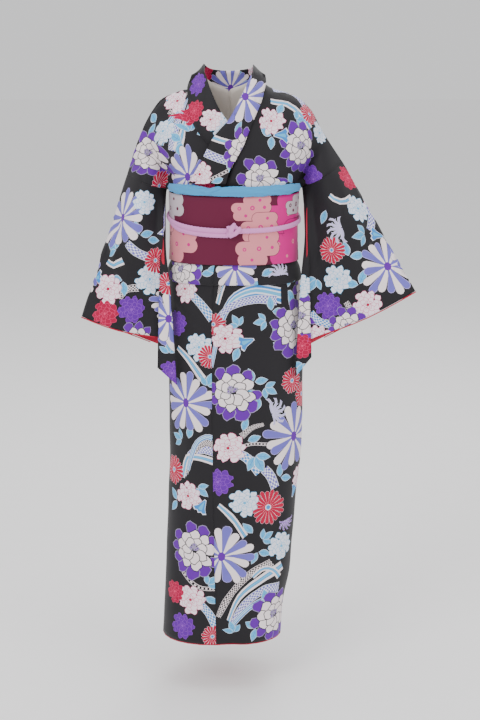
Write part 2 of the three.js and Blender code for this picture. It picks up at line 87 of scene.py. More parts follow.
# Neck edge by (side, front): share of the way down, x, z and, at the back, depth.
NECKS = {
    (1, 1): [
        (0, 53, 42), (0.1, 60, 22), (0.22, 58, -8), (0.36, 46, -40), (0.52, 26, -82),
        (0.7, 12, -122), (0.85, -4, -165), (0.94, -16, -200), (1, -24, FOOT),
    ],
    (-1, 1): [
        (0, -70, 50), (0.1, -84, 22), (0.22, -92, -8), (0.36, -90, -44), (0.52, -76, -82),
        (0.7, -40, -122), (0.85, -5, -165), (0.94, 25, -200), (1, 50, FOOT),
    ],
    (1, -1): [
        (0, 53, 42, 0), (0.12, 47, 30, 38), (0.24, 24, 14, 72), (0.36, -11.7, -4, 88),
        (0.6, -5, -90, 88), (1, 1.6, FOOT, 84),
    ],
    (-1, -1): [
        (0, -70, 50, 0), (0.12, -68, 34, 38), (0.24, -46, 14, 72), (0.36, -12.3, -4, 88),
        (0.6, -5.6, -90, 88), (1, 0.4, FOOT, 84),
    ],
}
FRONT_SWELL = [
    (0, 0), (6, 18), (18, 34), (40, 54), (70, 74), (110, 92), (160, 104), (230, 109), (400, 109),
]
BACK_SWELL = [(0, 0), (6, 20), (18, 40), (40, 60), (70, 76), (120, 86), (200, 86), (400, 84)]
ARM_SWELL = 60.0
ARM_SWELL_BACK = 51.0
ARM_BACK = 8.0
ARMHOLE_END = 0.88
# The tuck's fold: height, distance out.
TUCK = [
    (TUCK_START, 0), (-392, 3), (-400, 5.6), (-427, 6.2), (-429, 3.3), (-406, 2.9), (-405, 0),
    (TUCK_END, 0),
]
COLUMNS = 12
ACROSS = (0, 0.1, 0.2, 0.31, 0.42, 0.53, 0.63, 0.72, 0.8, 0.87, 0.94, 1)
VALLEY_TOP = -780.0
VALLEY_DEPTH = 7.0
VALLEY_TURN = 9.0
VALLEY_WIDTH = 9.0
VALLEY_RISE = 350.0
NAPE_TOP = 58.0
CHEST_HALF = 146.0
SHOULDER_EXTRA = 59.0


def curve(rows, column, value):
    """A table's column at a value of its first column, smooth and without overshoot."""
    x = np.array([r[0] for r in rows], float)
    y = np.array([r[column] for r in rows], float)
    if x[0] > x[-1]:
        x, y = x[::-1], y[::-1]
    slope = np.diff(y) / np.diff(x)
    tangent = np.zeros(len(x))
    same = slope[:-1] * slope[1:] > 0
    low = np.minimum(np.abs(slope[:-1]), np.abs(slope[1:]))
    mean = (slope[:-1] + slope[1:]) / 2
    tangent[1:-1] = np.where(same, np.sign(mean) * np.minimum(np.abs(mean), 3 * low), 0)
    tangent[0], tangent[-1] = slope[0], slope[-1]
    v = np.clip(np.asarray(value, float), x[0], x[-1])
    i = np.clip(np.searchsorted(x, v, side="right") - 1, 0, len(x) - 2)
    h = x[i + 1] - x[i]
    t = (v - x[i]) / h
    a = y[i] * (1 + 2 * t) * (1 - t) ** 2 + h * tangent[i] * t * (1 - t) ** 2
    return a + y[i + 1] * t * t * (3 - 2 * t) - h * tangent[i + 1] * t * t * (1 - t)


def smooth(t):
    c = np.clip(t, 0, 1)
    return c * c * (3 - 2 * c)


def unit(v):
    """Vectors at length one."""
    return v / np.maximum(np.linalg.norm(v, axis=-1, keepdims=True), 1e-9)


def seam_turn(z):
    """Turn of the seam between the upper overlap and the left body, to the wearer's right."""
    off = (curve(SECTIONS, 1, z) - curve(OVERLAP_SEAM, 1, z)) / curve(SECTIONS, 2, z)
    return np.degrees(np.arcsin(np.clip(off, 0, 1) ** (SQUARENESS / 2)))


def ring(turn, z, out):
    """Points round the body. Turn 0 is the middle of the front and 90 the wearer's left."""
    s, c = np.sin(np.radians(turn)), np.cos(np.radians(turn))
    power = 2 / SQUARENESS
    off = (turn - VALLEY_TURN + seam_turn(z)) / VALLEY_WIDTH
    valley = -VALLEY_DEPTH * smooth((VALLEY_TOP - z) / VALLEY_RISE) * np.exp(-off * off)
    front = c > 0
    deep = np.where(front, curve(SECTIONS, 3, z), curve(SECTIONS, 4, z))
    d = out + np.where(front, valley, 0)
    x = curve(SECTIONS, 1, z) + (curve(SECTIONS, 2, z) + out) * np.sign(s) * np.abs(s) ** power
    y = -np.sign(c) * (deep + d) * np.abs(c) ** power
    return np.stack(np.broadcast_arrays(x, y, z), -1)


def layer_out(turn):
    """How far the upper layer lies out: it thins away past each side."""
    left = 1 - smooth((turn - LAYER_END_LEFT) / 17)
    right = 1 - smooth((LAYER_END_RIGHT - turn) / 10)
    return OVER * left * right


def left_turns(z):
    seam = -float(seam_turn(z))
    over = np.linspace(seam + SEAM_TURN, UNDER_SEAM, 5)
    side = np.linspace(UNDER_SEAM, UNDER_EDGE + 2, 6)[1:]
    return [*over, *side, SIDE_TURN, LEFT_SIDE - SEAM_TURN]


def right_turns(z):
    seam = -float(seam_turn(z))
    side = np.linspace(OVERLAP_EDGE, seam, 7)
    under = np.linspace(seam, UNDER_SEAM - SEAM_TURN, 5)[1:]
    return [RIGHT_SIDE + SEAM_TURN, *side, *under][::-1]


def back_turns(side):
    end = LEFT_SIDE if side > 0 else RIGHT_SIDE
    return list(np.linspace(side * (180 - SEAM_TURN), end + side * SEAM_TURN, COLUMNS))


def half_turns(side, front, z):
    """Turns of a body half's columns, from the middle to the side."""
    if front < 0:
        return back_turns(side)
    return left_turns(z) if side > 0 else right_turns(z)


def at_columns(values, columns):
    return np.interp(columns, np.arange(len(values)), values)


def numbered(rows):
    """A table with the numbers of its rows as first column."""
    return [(i,) + row for i, row in enumerate(rows)]


def ridge(side, u):
    rows = numbered(RIDGE_LEFT if side > 0 else RIDGE_RIGHT)
    at = u * (len(rows) - 1)
    return curve(rows, 1, at), curve(rows, 2, at)


def ridge_height(x):
    between = NAPE_TOP - 0.0012 * (x + 10) ** 2
    side = np.where(x > 0, curve(RIDGE_LEFT, 1, x), curve(RIDGE_RIGHT, 1, x))
    return np.where((x > -66) & (x < 46), between, side)


def chest_depth(x, z, swell):
    drop = np.maximum(0, ridge_height(x) - z)
    half = CHEST_HALF + SHOULDER_EXTRA * smooth((z - FOOT) / 150)
    across = np.maximum(0, 1 - np.minimum(1, np.abs(x) / half) ** SQUARENESS) ** (1 / SQUARENESS)
    return curve(swell, 1, drop) * across


def arm_swell(h, front):
    """How far the armhole bows out, at a share of its height."""
    most = ARM_SWELL if front > 0 else ARM_SWELL_BACK
    return most * np.sin(math.pi * np.clip(h / ARMHOLE_END, 0, 1))


def upper(side, front, columns, h, out):
    """The upper body: columns run from the neck to the armhole and h down from the shoulder."""
    neck = NECKS[side, front]
    turn = at_columns(half_turns(side, front, FOOT), columns)
    base = layer_out(turn) if front > 0 and side > 0 else 0
    u = at_columns(ACROSS, columns)
    end = ring(turn, np.full_like(turn, FOOT), base)
    rx, rz = ridge(side, u)
    h = h[:, None]
    fade = (1 - u) ** 1.3
    x = rx + (end[:, 0] - rx) * h + fade * (curve(neck, 1, h) - (rx[0] + (end[0, 0] - rx[0]) * h))
    z = rz + (end[:, 2] - rz) * h + fade * (curve(neck, 2, h) - (rz[0] + (end[0, 2] - rz[0]) * h))
    arm = smooth((u - 0.55) / 0.45)
    fold = np.exp(-(((u - 0.76) / 0.09) ** 2))
    crease = 15 * fold * smooth((h - 0.12) / 0.3) * (1 - smooth((h - 0.8) / 0.2))
    torso = chest_depth(x, z, FRONT_SWELL if front > 0 else BACK_SWELL)
    sleeve = -front * ARM_BACK * (1 - h) + arm_swell(h, front)
    depth = torso + (sleeve - torso) * arm - crease
    if front < 0:
        depth = depth + (curve(neck, 3, h) - depth) * (1 - u) ** 6
    settle = smooth((h - 0.7) / 0.3)
    lift = out * (1 - settle) * smooth(h / 0.12) * (1 - arm)
    depth = depth + (-front * end[:, 1] - depth) * settle + lift
    return np.stack([x, -front * depth, z], -1)


def tuck_path(step=3.0):
    """Points along the tuck's fold: height, distance out."""
    path = np.array(TUCK, float)
    length = np.concatenate([[0], np.cumsum(np.linalg.norm(np.diff(path, axis=0), axis=1))])
    at = np.unique(np.concatenate([np.arange(0, length[-1], step), length]))
    return np.stack([np.interp(at, length, path[:, 0]), np.interp(at, length, path[:, 1])], 1)


def heights(start, end, step):
    return np.linspace(start, end, max(2, int(round((start - end) / step)) + 1))


def skirt_rows(turns_at, base, columns, plain, first):
    """Rows below the chest: under the belt, round the tuck (unless plain) and down to the hem."""
    rows = []

    def add(z, out):
        turn = at_columns(turns_at(z), columns)
        rows.append(ring(turn, np.full_like(turn, z), base(turn) + out))

    for z in heights(first, TUCK_START, 18)[:-1]:
        add(z, 0)
    if plain:
        for z in heights(TUCK_START, TUCK_END, 14):
            add(z, 0)
    else:
        for z, out in tuck_path():
            add(z, out)
    for z in heights(TUCK_END, HEM, 10)[1:]:
        add(z, 0)
    return rows


def body_half(side, front, columns):
    """Rows of half the body's front or back, from the shoulder to the hem."""
    turns_at = lambda z: half_turns(side, front, z)
    base = layer_out if side > 0 and front > 0 else lambda turn: 0
    out = CHEST_OVER if side > 0 and front > 0 else 0
    h = np.linspace(0, 1, 44)[:-1] ** 1.35
    top = list(upper(side, front, columns, h, out))
    return top + skirt_rows(turns_at, base, columns, side < 0 and front > 0, FOOT)


def body_panel(side):
    """One side of the body, from the back hem over the shoulder to the front hem."""
    columns = np.linspace(0, COLUMNS - 1, 53)
    back = body_half(side, -1, columns)
    front = body_half(side, 1, columns)
    return np.array(back[::-1] + front[1:])


def overlap_panel(side):
    """A front overlap, from under the belt to the hem."""
    if side > 0:
        turns_at = lambda z: np.linspace(OVERLAP_EDGE, -float(seam_turn(z)) - SEAM_TURN, 7)
        base = lambda turn: OVER
    else:
        turns_at = lambda z: np.linspace(UNDER_SEAM + SEAM_TURN, UNDER_EDGE, 7)
        base = lambda turn: 0
    return np.array(skirt_rows(turns_at, base, np.linspace(0, 6, 28), side < 0, -352.0))


SLEEVES = {
    "left": {
        "side": 1,
        "top": (252, -163),
        "cuff": (416, -85, -448),
        "turn": (166, -80, -566),
        "outer": (179, -80, -603),
        "inner": (143, -80, -648),
    },
    "right": {
        "side": -1,
        "top": (-247, -190),
        "cuff": (-350, -85, -507),
        "turn": (-154, -82, -560),
        "outer": (-177, -82, -627),
        "inner": (-133, -82, -668),
    },
}
FRONT_BULGE = [(0, 58), (0.5, 44), (0.8, 34), (1, 24)]
BACK_BULGE = [(0, 50), (0.5, 40), (0.8, 32), (1, 24)]
PLEAT_STEP = 3.0
CUFF_SAG = 4.0
SLEEVE_GAP = 0.2
SLEEVE_START = 38
SLEEVE_FRONT = 12
RING_STEPS = 28


def mix(a, b, t):
    return np.asarray(a, float) + (np.asarray(b, float) - np.asarray(a, float)) * t


def sleeve_ring(sleeve, s):
    """One section of a sleeve: the front layer, the standing fold, then the back layer."""
    side = sleeve["side"]
    foot = ring(np.array([half_turns(side, 1, FOOT)[-1]]), np.array([FOOT]), 0)[0]

    def hole(h, front):
        y = ARM_BACK * (1 - h) - front * float(arm_swell(h, front))
        return np.array([mix(sleeve["top"][0], foot[0], h), y, mix(sleeve["top"][1], foot[2], h)])

    root = np.array([sleeve["top"][0], ARM_BACK, sleeve["top"][1]], float)
    pit = hole(0.8, 1)
    pit[1] = -14
    top = mix(root, sleeve["cuff"], s)
    turn = mix(pit, sleeve["turn"], s)
    spread = float(smooth(s / 0.45))
    turn[1] = mix(pit[1], sleeve["turn"][1], spread)
    outer = mix(hole(0.8, 1), sleeve["outer"], s)
    inner = mix(hole(0.86, 1), sleeve["inner"], s)
    outer[0] = mix(turn[0], outer[0], spread)
    inner[0] = mix(turn[0] - side * 3, inner[0], float(smooth((s - 0.2) / 0.35)))
    sag = lambda e: -CUFF_SAG * s * math.sin(math.pi * e)
    shape, holes = [], []
    for e in np.linspace(0, 1, RING_STEPS):
        p = mix(top, turn, e)
        p[1] -= curve(FRONT_BULGE, 1, s) * math.sin(math.pi * min(1, e / 0.86))
        p[2] += sag(e)
        shape.append(p)
        holes.append(hole(0.74 * e, 1))
    front = turn[1]
    layer = lambda p, steps: np.array([p[0], front - steps * PLEAT_STEP, p[2]])
    back = mix(turn, outer, 0.25)
    back[0] = mix(turn[0], outer[0], 0.6)
    # The fold's corners: point, share of the armhole's height, steps.
    corners = [
        (layer(turn, 1), 0.76, 1),
        (layer(outer, 1.15), 0.79, 4),
        (layer(outer, 2.2), 0.81, 1),
        (layer(inner, 2.4), 0.84, 5),
        (layer(inner, -1), 0.87, 2),
        (layer(mix(inner, outer, 0.55), -1.2), 0.88, 3),
    ]
    last, last_hole = shape[-1], holes[-1]
    for corner, h, count in corners:
        edge = hole(h, 1)
        for k in range(1, count + 1):
            shape.append(mix(last, corner, k / count))
            holes.append(mix(last_hole, edge, k / count))
        last, last_hole = corner, edge
    start = layer(back, -2.2)
    first_hole = hole(0.86, -1)
    for k in range(1, 3):
        shape.append(mix(last, start, k / 3))
        holes.append(mix(last_hole, first_hole, k / 3))
    for e in np.linspace(0, 1, RING_STEPS)[:-1]:
        p = mix(start, top, e)
        p[1] += curve(BACK_BULGE, 1, s) * math.sin(math.pi * e)
        p[2] += sag(e)
        shape.append(p)
        holes.append(hole(0.86 * (1 - e), -1))
    leave = float(smooth(s / 0.3))
    axis = np.asarray(sleeve["cuff"], float) - root
    axis /= np.linalg.norm(axis)
    return mix(np.array(holes), np.array(shape), leave) + axis * SLEEVE_GAP


def sleeve_panel(name):
    """Sections of a sleeve, from the armhole to the cuff."""
    return np.array([sleeve_ring(SLEEVES[name], s) for s in np.linspace(0, 1, 54)])


# Collar rows: inner edge (x, z) and seam edge (x, z); the nape rows are (x, y, z) twice.
COLLAR_LEFT = [
    (-102, -200, -16, -200), (-88, -175, -8, -172), (-72, -147, 4, -146), (-50, -103, 20, -117),
    (-30, -78, 29, -94), (-11, -58, 38, -72), (6, -28, 50, -44), (18, -4, 62, -16),
    (30, 20, 67, 8), (40, 42, 64, 30),
]
COLLAR_NAPE = [
    (44, 14, 60, 62, 16, 42), (44, 44, 56, 56, 50, 30), (28, 76, 48, 36, 82, 4),
    (-12, 92, 44, -12, 96, -14), (-50, 76, 48, -60, 82, 4), (-66, 44, 58, -78, 50, 30),
    (-68, 14, 62, -84, 16, 42),
]
COLLAR_RIGHT = [
    (-64, 42, -89, 30), (-57, 20, -97, 8), (-49, 0, -102, -18), (-40, -20, -98, -44),
    (-28, -42, -88, -74), (-11, -64, -68, -100), (10, -90, -46, -124), (24, -106, -30, -140),
]
COLLAR_OUT = {"left": 12.4, "right": 4.6}
COLLAR_LIFT = 6.0
COLLAR_SPREAD = 1.5
COLLAR_ROLL = 1.6
COLLAR_SPANS = 5


def collar_panel():
    """The collar band, from the upper front end round the nape to the lower one."""
    rows = []
    t = np.linspace(0, 1, 13)

    def front_rows(table, out):
        fine = np.linspace(0, len(table) - 1, (len(table) - 1) * COLLAR_SPANS + 1)
        edges = numbered(table)
        for at in fine:
            x = mix(curve(edges, 1, at), curve(edges, 3, at), t)
            z = mix(curve(edges, 2, at), curve(edges, 4, at), t)
            near = smooth((ridge_height(x) - z) / 24)
            lift = COLLAR_LIFT * (1 - near) + COLLAR_SPREAD * t
            y = -chest_depth(x, z, FRONT_SWELL) - out * near - COLLAR_ROLL * np.sin(math.pi * t)
            rows.append(np.stack([x + np.sign(x) * lift, y, z + lift], -1))

    front_rows(COLLAR_LEFT, COLLAR_OUT["left"])
    nape = numbered(COLLAR_NAPE)
    for at in np.linspace(0, len(nape) - 1, (len(nape) - 1) * COLLAR_SPANS + 1):
        inner = np.array([curve(nape, c, at) for c in (1, 2, 3)])
        seam = np.array([curve(nape, c, at) for c in (4, 5, 6)])
        row = mix(inner, seam, t[:, None])
        row[:, 1] += 4 * np.sin(math.pi * t)
        rows.append(row)
    front_rows(COLLAR_RIGHT, COLLAR_OUT["right"])
    return np.array(rows)


COLOURS = {
    "ground": (27, 25, 29),
    "lavender": (106, 100, 188),
    "cream": (238, 226, 228),
    "purple": (96, 24, 154),
    "plum": (104, 52, 140),
    "sky": (94, 178, 222),
    "blue": (52, 132, 204),
    "red": (182, 0, 56),
    "blush": (244, 228, 238),
    "rose": (222, 96, 142),
    "ice": (226, 229, 243),
    "crimson": (168, 0, 60),
    "coral": (222, 62, 108),
    "mauve": (150, 140, 170),
    "line": (24, 21, 27),
    "white": (243, 240, 243),
    "lilac": (188, 176, 226),
    "violet": (138, 66, 188),
    "wine": (92, 12, 48),
    "wine_dark": (76, 16, 44),
    "salmon": (220, 132, 142),
    "magenta": (204, 8, 126),
    "dove": (190, 176, 184),
}


def turned(p, angle, x=0.0, y=0.0):
    c, s = math.cos(angle), math.sin(angle)
    return np.stack([x + p[:, 0] * c - p[:, 1] * s, y + p[:, 0] * s + p[:, 1] * c], 1)


def circle(x, y, r, count=10):
    a = np.linspace(0, math.tau, count, endpoint=False)
    return np.stack([x + r * np.cos(a), y + r * np.sin(a)], 1)


def petal(start, end, half, angle, blunt=0.75, count=3):
    """A petal that leaves the middle at an angle: narrow at its start and rounded at its end."""
    t = np.linspace(0, 1, count + 1)
    width = half * (0.25 + 0.75 * t**0.9)
    tip = np.radians(np.linspace(-90, 90, 6)[1:-1])
    along = start + (end - half * blunt - start) * t
    right = np.stack([along, -width], 1)
    cap = np.stack([end - half * blunt * (1 - np.cos(tip)), half * np.sin(tip)], 1)
    left = np.stack([along, width], 1)[::-1]
    return turned(np.concatenate([right, cap, left]), angle)


def leaf(length, half, angle, x=0.0, y=0.0, count=7):
    t = np.linspace(0, 1, count)
    width = half * np.sin(math.pi * t**0.85)
    upper_edge = np.stack([t * length, width], 1)
    lower_edge = np.stack([t * length, -width], 1)[::-1]
    return turned(np.concatenate([upper_edge, lower_edge[1:-1]]), angle, x, y)


def daisy(r):
    """A big flower of long rounded petals, dark between their tips."""
    shapes = []
    count = 18
    for k in range(count):
        a = math.tau * (k + 0.12 * math.sin(k * 2.3)) / count
        reach = r * (0.93 + 0.09 * math.sin(k * 1.7 + 0.6))
        half = r * (0.128 if k % 2 else 0.118)
        if k % 2 == 0:
            shapes.append((petal(r * 0.1, reach + 0.9, half + 0.9, a, 1.1), "lilac"))
            shapes.append((petal(r * 0.1, reach, half, a, 1.1), "lavender"))
        else:
            shapes.append((petal(r * 0.1, reach + 0.7, half + 0.7, a, 1.1), "line"))
            shapes.append((petal(r * 0.1, reach, half, a, 1.1), "cream"))
    shapes.append((circle(0, 0, r * 0.12, 10) * (1, 1.25), "purple"))
    return shapes


def lobe(x, y, r, angle, stretch=1.2, wave=0.09, count=11):
    """A ruffled petal, longer along its angle."""
    t = np.linspace(0, math.tau, count, endpoint=False)
    size = r * (1 + wave * np.cos(3 * t + x + y) + 0.05 * np.cos(5 * t))
    return turned(np.stack([size * np.cos(t) * stretch, size * np.sin(t)], 1), angle, x, y)


def lobes(shapes, r, rows, fill, edge, rim):
    for degrees, distance, size in rows:
        a = math.radians(degrees)
        x, y = r * distance * math.cos(a), r * distance * math.sin(a)
        shapes.append((lobe(x, y, r * size, a), edge))
        shapes.append((lobe(x, y, r * size - rim, a), fill))


OUTER_PETALS = [
    (78, 0.8, 0.25), (112, 0.84, 0.24), (42, 0.78, 0.24), (158, 0.8, 0.22), (344, 0.86, 0.2),
    (312, 0.8, 0.27), (282, 0.86, 0.28), (250, 0.78, 0.26), (222, 0.74, 0.22), (190, 0.78, 0.2),
]
MIDDLE_PETALS = [
    (100, 0.52, 0.24), (60, 0.56, 0.22), (20, 0.58, 0.24), (335, 0.6, 0.22), (295, 0.56, 0.23),
    (255, 0.5, 0.22), (215, 0.48, 0.22), (175, 0.5, 0.22), (138, 0.52, 0.22),
]
INNER_PETALS = [
    (80, 0.28, 0.21), (30, 0.32, 0.2), (340, 0.34, 0.22), (290, 0.3, 0.22), (240, 0.26, 0.2),
    (190, 0.26, 0.19), (130, 0.28, 0.2),
]


def peony(r):
    """A large open flower: cream petals with dark outlines over purple ones."""
    shapes = []
    rim = r * 0.022
    lobes(shapes, r, OUTER_PETALS, "purple", "mauve", rim)
    lobes(shapes, r, MIDDLE_PETALS, "cream", "line", rim * 1.3)
    lobes(shapes, r, INNER_PETALS, "cream", "line", rim * 1.3)
    shapes.append((lobe(0, r * 0.12, r * 0.15, 0.2, 1.3, 0.2), "mauve"))
    for k in range(7):
        a = math.tau * k / 7
        x, y = r * 0.13 * math.cos(a), r * (0.12 + 0.09 * math.sin(a))
        shapes.append((circle(x, y, r * 0.03, 5), "line" if k % 2 else "purple"))
    return shapes


# Rings of petals: distance, size, count, turn.
ROSETTE_RINGS = [(0.78, 0.24, 10, 0.0), (0.56, 0.24, 9, 0.35), (0.36, 0.2, 7, 0.1), (0.17, 0.15, 5, 0.5)]


def rosette(r, fill, edge, heart):
    """A full round flower of ruffled petals with fine outlines."""
    shapes = []
    for distance, size, count, turn in ROSETTE_RINGS:
        for k in range(count):
            a = math.tau * (k + 0.16 * math.sin(k * 2.7 + distance * 9)) / count + turn
            far = distance * (1 + 0.05 * math.sin(k * 1.9))
            x, y = r * far * math.cos(a), r * far * math.sin(a)
            for half, colour in ((size, edge), (size - 0.026, fill)):
                shapes.append((lobe(x, y, r * half, a, 1.05, 0.12, 9), colour))
    shapes.append((circle(0, 0, r * 0.11, 7), heart))
    for k in range(5):
        a = math.tau * k / 5 + 0.4
        shapes.append((circle(r * 0.2 * math.cos(a), r * 0.2 * math.sin(a), r * 0.04, 5), heart))
    return shapes


def aster(r):
    """A red flower of long petals with fine pale edges, dark between the tips."""
    shapes = []
    count = 19
    for k in range(count):
        a = math.tau * k / count
        reach = r * (0.95 + 0.05 * math.sin(k * 2.2))
        half = r * 0.112
        shapes.append((petal(r * 0.1, reach + 0.35, half + 0.35, a, 1.2, 3), "blush"))
        shapes.append((petal(r * 0.1, reach, half - 0.1, a, 1.2, 3), "red"))
    shapes.append((circle(0, 0, r * 0.17, 10), "ice"))
    shapes.append((circle(0, 0, r * 0.12, 8), "blue"))
    return shapes


def spider(r, fill="lilac"):
    """A flower of thin curling petals that open to one side."""
    shapes = []
    for k in range(13):
        a = math.radians(-84 + 168 * k / 12)
        bend = 0.3 if k % 2 else -0.25
        t = np.linspace(0.05, 1, 8)
        reach = r * (1.0 if k % 2 else 0.72)
        turn = a + bend * t**3
        mid = np.stack([reach * t * np.cos(turn), reach * t * np.sin(turn)], 1)
        side = np.stack([-np.sin(turn), np.cos(turn)], 1) * (r * 0.04 * np.linspace(0.5, 1.7, 8))[:, None]
        shapes.append((np.concatenate([mid + side * 1.4, (mid - side * 1.4)[::-1]]), "ice"))
        shapes.append((np.concatenate([mid + side, (mid - side)[::-1]]), fill))
    return shapes


def leaves(r, count=3, fill="sky"):
    """Broad pointed leaves with pale veins."""
    shapes = []
    for k in range(count):
        a = math.radians(-52 + 104 * k / max(1, count - 1)) if count > 1 else 0.0
        length = r * (1.0 if k == 1 or count < 3 else 0.82)
        x, y = r * 0.06 * math.cos(a), r * 0.06 * math.sin(a)
        shapes.append((leaf(length, length * 0.27, a, x, y), "ice"))
        shapes.append((leaf(length * 0.95, length * 0.24, a, x * 1.4, y * 1.4), fill))
        shapes.append((leaf(length * 0.9, length * 0.02, a, x, y, 4), "blue"))
        for share, way in ((0.25, 1), (0.25, -1), (0.5, 1), (0.5, -1)):
            vx, vy = x + length * share * math.cos(a), y + length * share * math.sin(a)
            shapes.append((leaf(length * 0.26, length * 0.012, a + way * 0.7, vx, vy, 4), "blue"))
    return shapes


BELL_OUTLINE = [
    (0.7, 1.0), (0.95, 0.62), (0.8, 0.3), (1.05, 0.0), (0.8, -0.3), (0.95, -0.62), (0.7, -1.0),
    (0.2, -0.55), (-0.9, -0.12), (-0.9, 0.12), (0.2, 0.55),
]
BELL_INSIDE = [(-0.7, -0.04), (0.6, -0.3), (0.7, 0.0), (0.6, 0.3), (-0.7, 0.04)]


def bell(r):
    """A small trumpet flower seen from the side."""
    outline, inside = np.array(BELL_OUTLINE), np.array(BELL_INSIDE)
    return [(outline * r * 1.15, "ice"), (outline * r, "blue"), (inside * r, "sky")]


FLOWERS = {
    "daisy": daisy,
    "peony": peony,
    "pink": lambda r: rosette(r, "blush", "rose", "crimson"),
    "ice": lambda r: rosette(r, "ice", "sky", "sky"),
    "violet": lambda r: rosette(r, "purple", "violet", "violet"),
    "crimson": lambda r: rosette(r, "crimson", "coral", "coral"),
    "aster": aster,
    "spider": spider,
    "spider_dark": lambda r: spider(r, "violet"),
    "leaves": leaves,
    "pair": lambda r: leaves(r, 2),
    "leaf": lambda r: leaves(r, 1),
    "bell": bell,
}


GROWTH = {
    "leaves": 1.35,
    "pair": 1.4,
    "leaf": 1.3,
    "bell": 1.0,
    "spider": 1.15,
    "spider_dark": 1.15,
    "daisy": 1.08,
}
FLOWER_GROWTH = 1.1


def spline(points, count):
    p = np.asarray(points, float)
    n = len(p)
    at = np.linspace(0, n - 1, count)
    i = np.clip(at.astype(int), 0, n - 2)
    t = (at - i)[:, None]
    a, b, c, d = p[np.maximum(i - 1, 0)], p[i], p[i + 1], p[np.minimum(i + 2, n - 1)]
    return 0.5 * (2 * b + (c - a) * t + (2 * a - 5 * b + 4 * c - d) * t**2 + (3 * b - a - 3 * c + d) * t**3)


DOT_ROWS = (-0.72, 0.72, 4, "ice")
RIBBONS = {
    "white": ([(-1, 1, "cream"), (-0.42, 0.42, "blue"), (-0.26, 0.26, "sky")], []),
    "sky": (
        [(-1, 1, "ice"), (-0.82, -0.35, "blue"), (-0.12, 0.3, "sky"), (0.5, 0.82, "blue")],
        [],
    ),
    "dots": ([(-1, 1, "ice"), (-0.86, 0.86, "lavender")], [DOT_ROWS]),
    "bluedots": ([(-1, 1, "ice"), (-0.86, 0.86, "blue")], [DOT_ROWS]),
    "checks": (
        [(-1, 1, "cream"), (-0.88, 0.88, "line"), (-0.72, 0.72, "cream")],
        [(-0.72, 0.72, 4, "line")],
    ),
    "lines": ([(-1, 1, "cream"), (-0.7, 0.7, "line")], [(-0.4, 0.4, 1, "cream")]),
}
RIBBON_CELLS = {"checks": 0.44, "dots": 0.46, "bluedots": 0.46}
RIBBON_GROWTH = 1.25


def ribbon(path, half_start, half_end, style):
    """A ribbon along a path in millimetres, as shapes."""
    length = float(np.linalg.norm(np.diff(np.asarray(path, float), axis=0), axis=1).sum())
    half_start, half_end = half_start * RIBBON_GROWTH, half_end * RIBBON_GROWTH
    mean = (half_start + half_end) / 2
    stripes, checks = RIBBONS[style]
    count = max(6, int(length / (mean * RIBBON_CELLS.get(style, 0.9))))
    mid = spline(path, count + 1)
    step = np.gradient(mid, axis=0)
    side = unit(np.stack([-step[:, 1], step[:, 0]], 1))
    half = np.linspace(half_start, half_end, count + 1)[:, None]
    edge = lambda f: mid + side * half * f
    shapes = []
    for low, high, colour in stripes:
        near, far = edge(low), edge(high)
        shapes.append((np.concatenate([near[:-1:2], near[-1:], far[-1:], far[:-1:2][::-1]]), colour))
    for low, high, rows, colour in checks:
        lines = [edge(f) for f in np.linspace(low, high, rows + 1)]
        for i in range(count):
            for j in range(rows):
                if (i + j) % 2 == 0:
                    cell = [lines[j][i], lines[j][i + 1], lines[j + 1][i + 1], lines[j + 1][i]]
                    shapes.append((np.array(cell), colour))
    return shapes


LAYER_WEIGHT = 8.0
REACH = 60.0


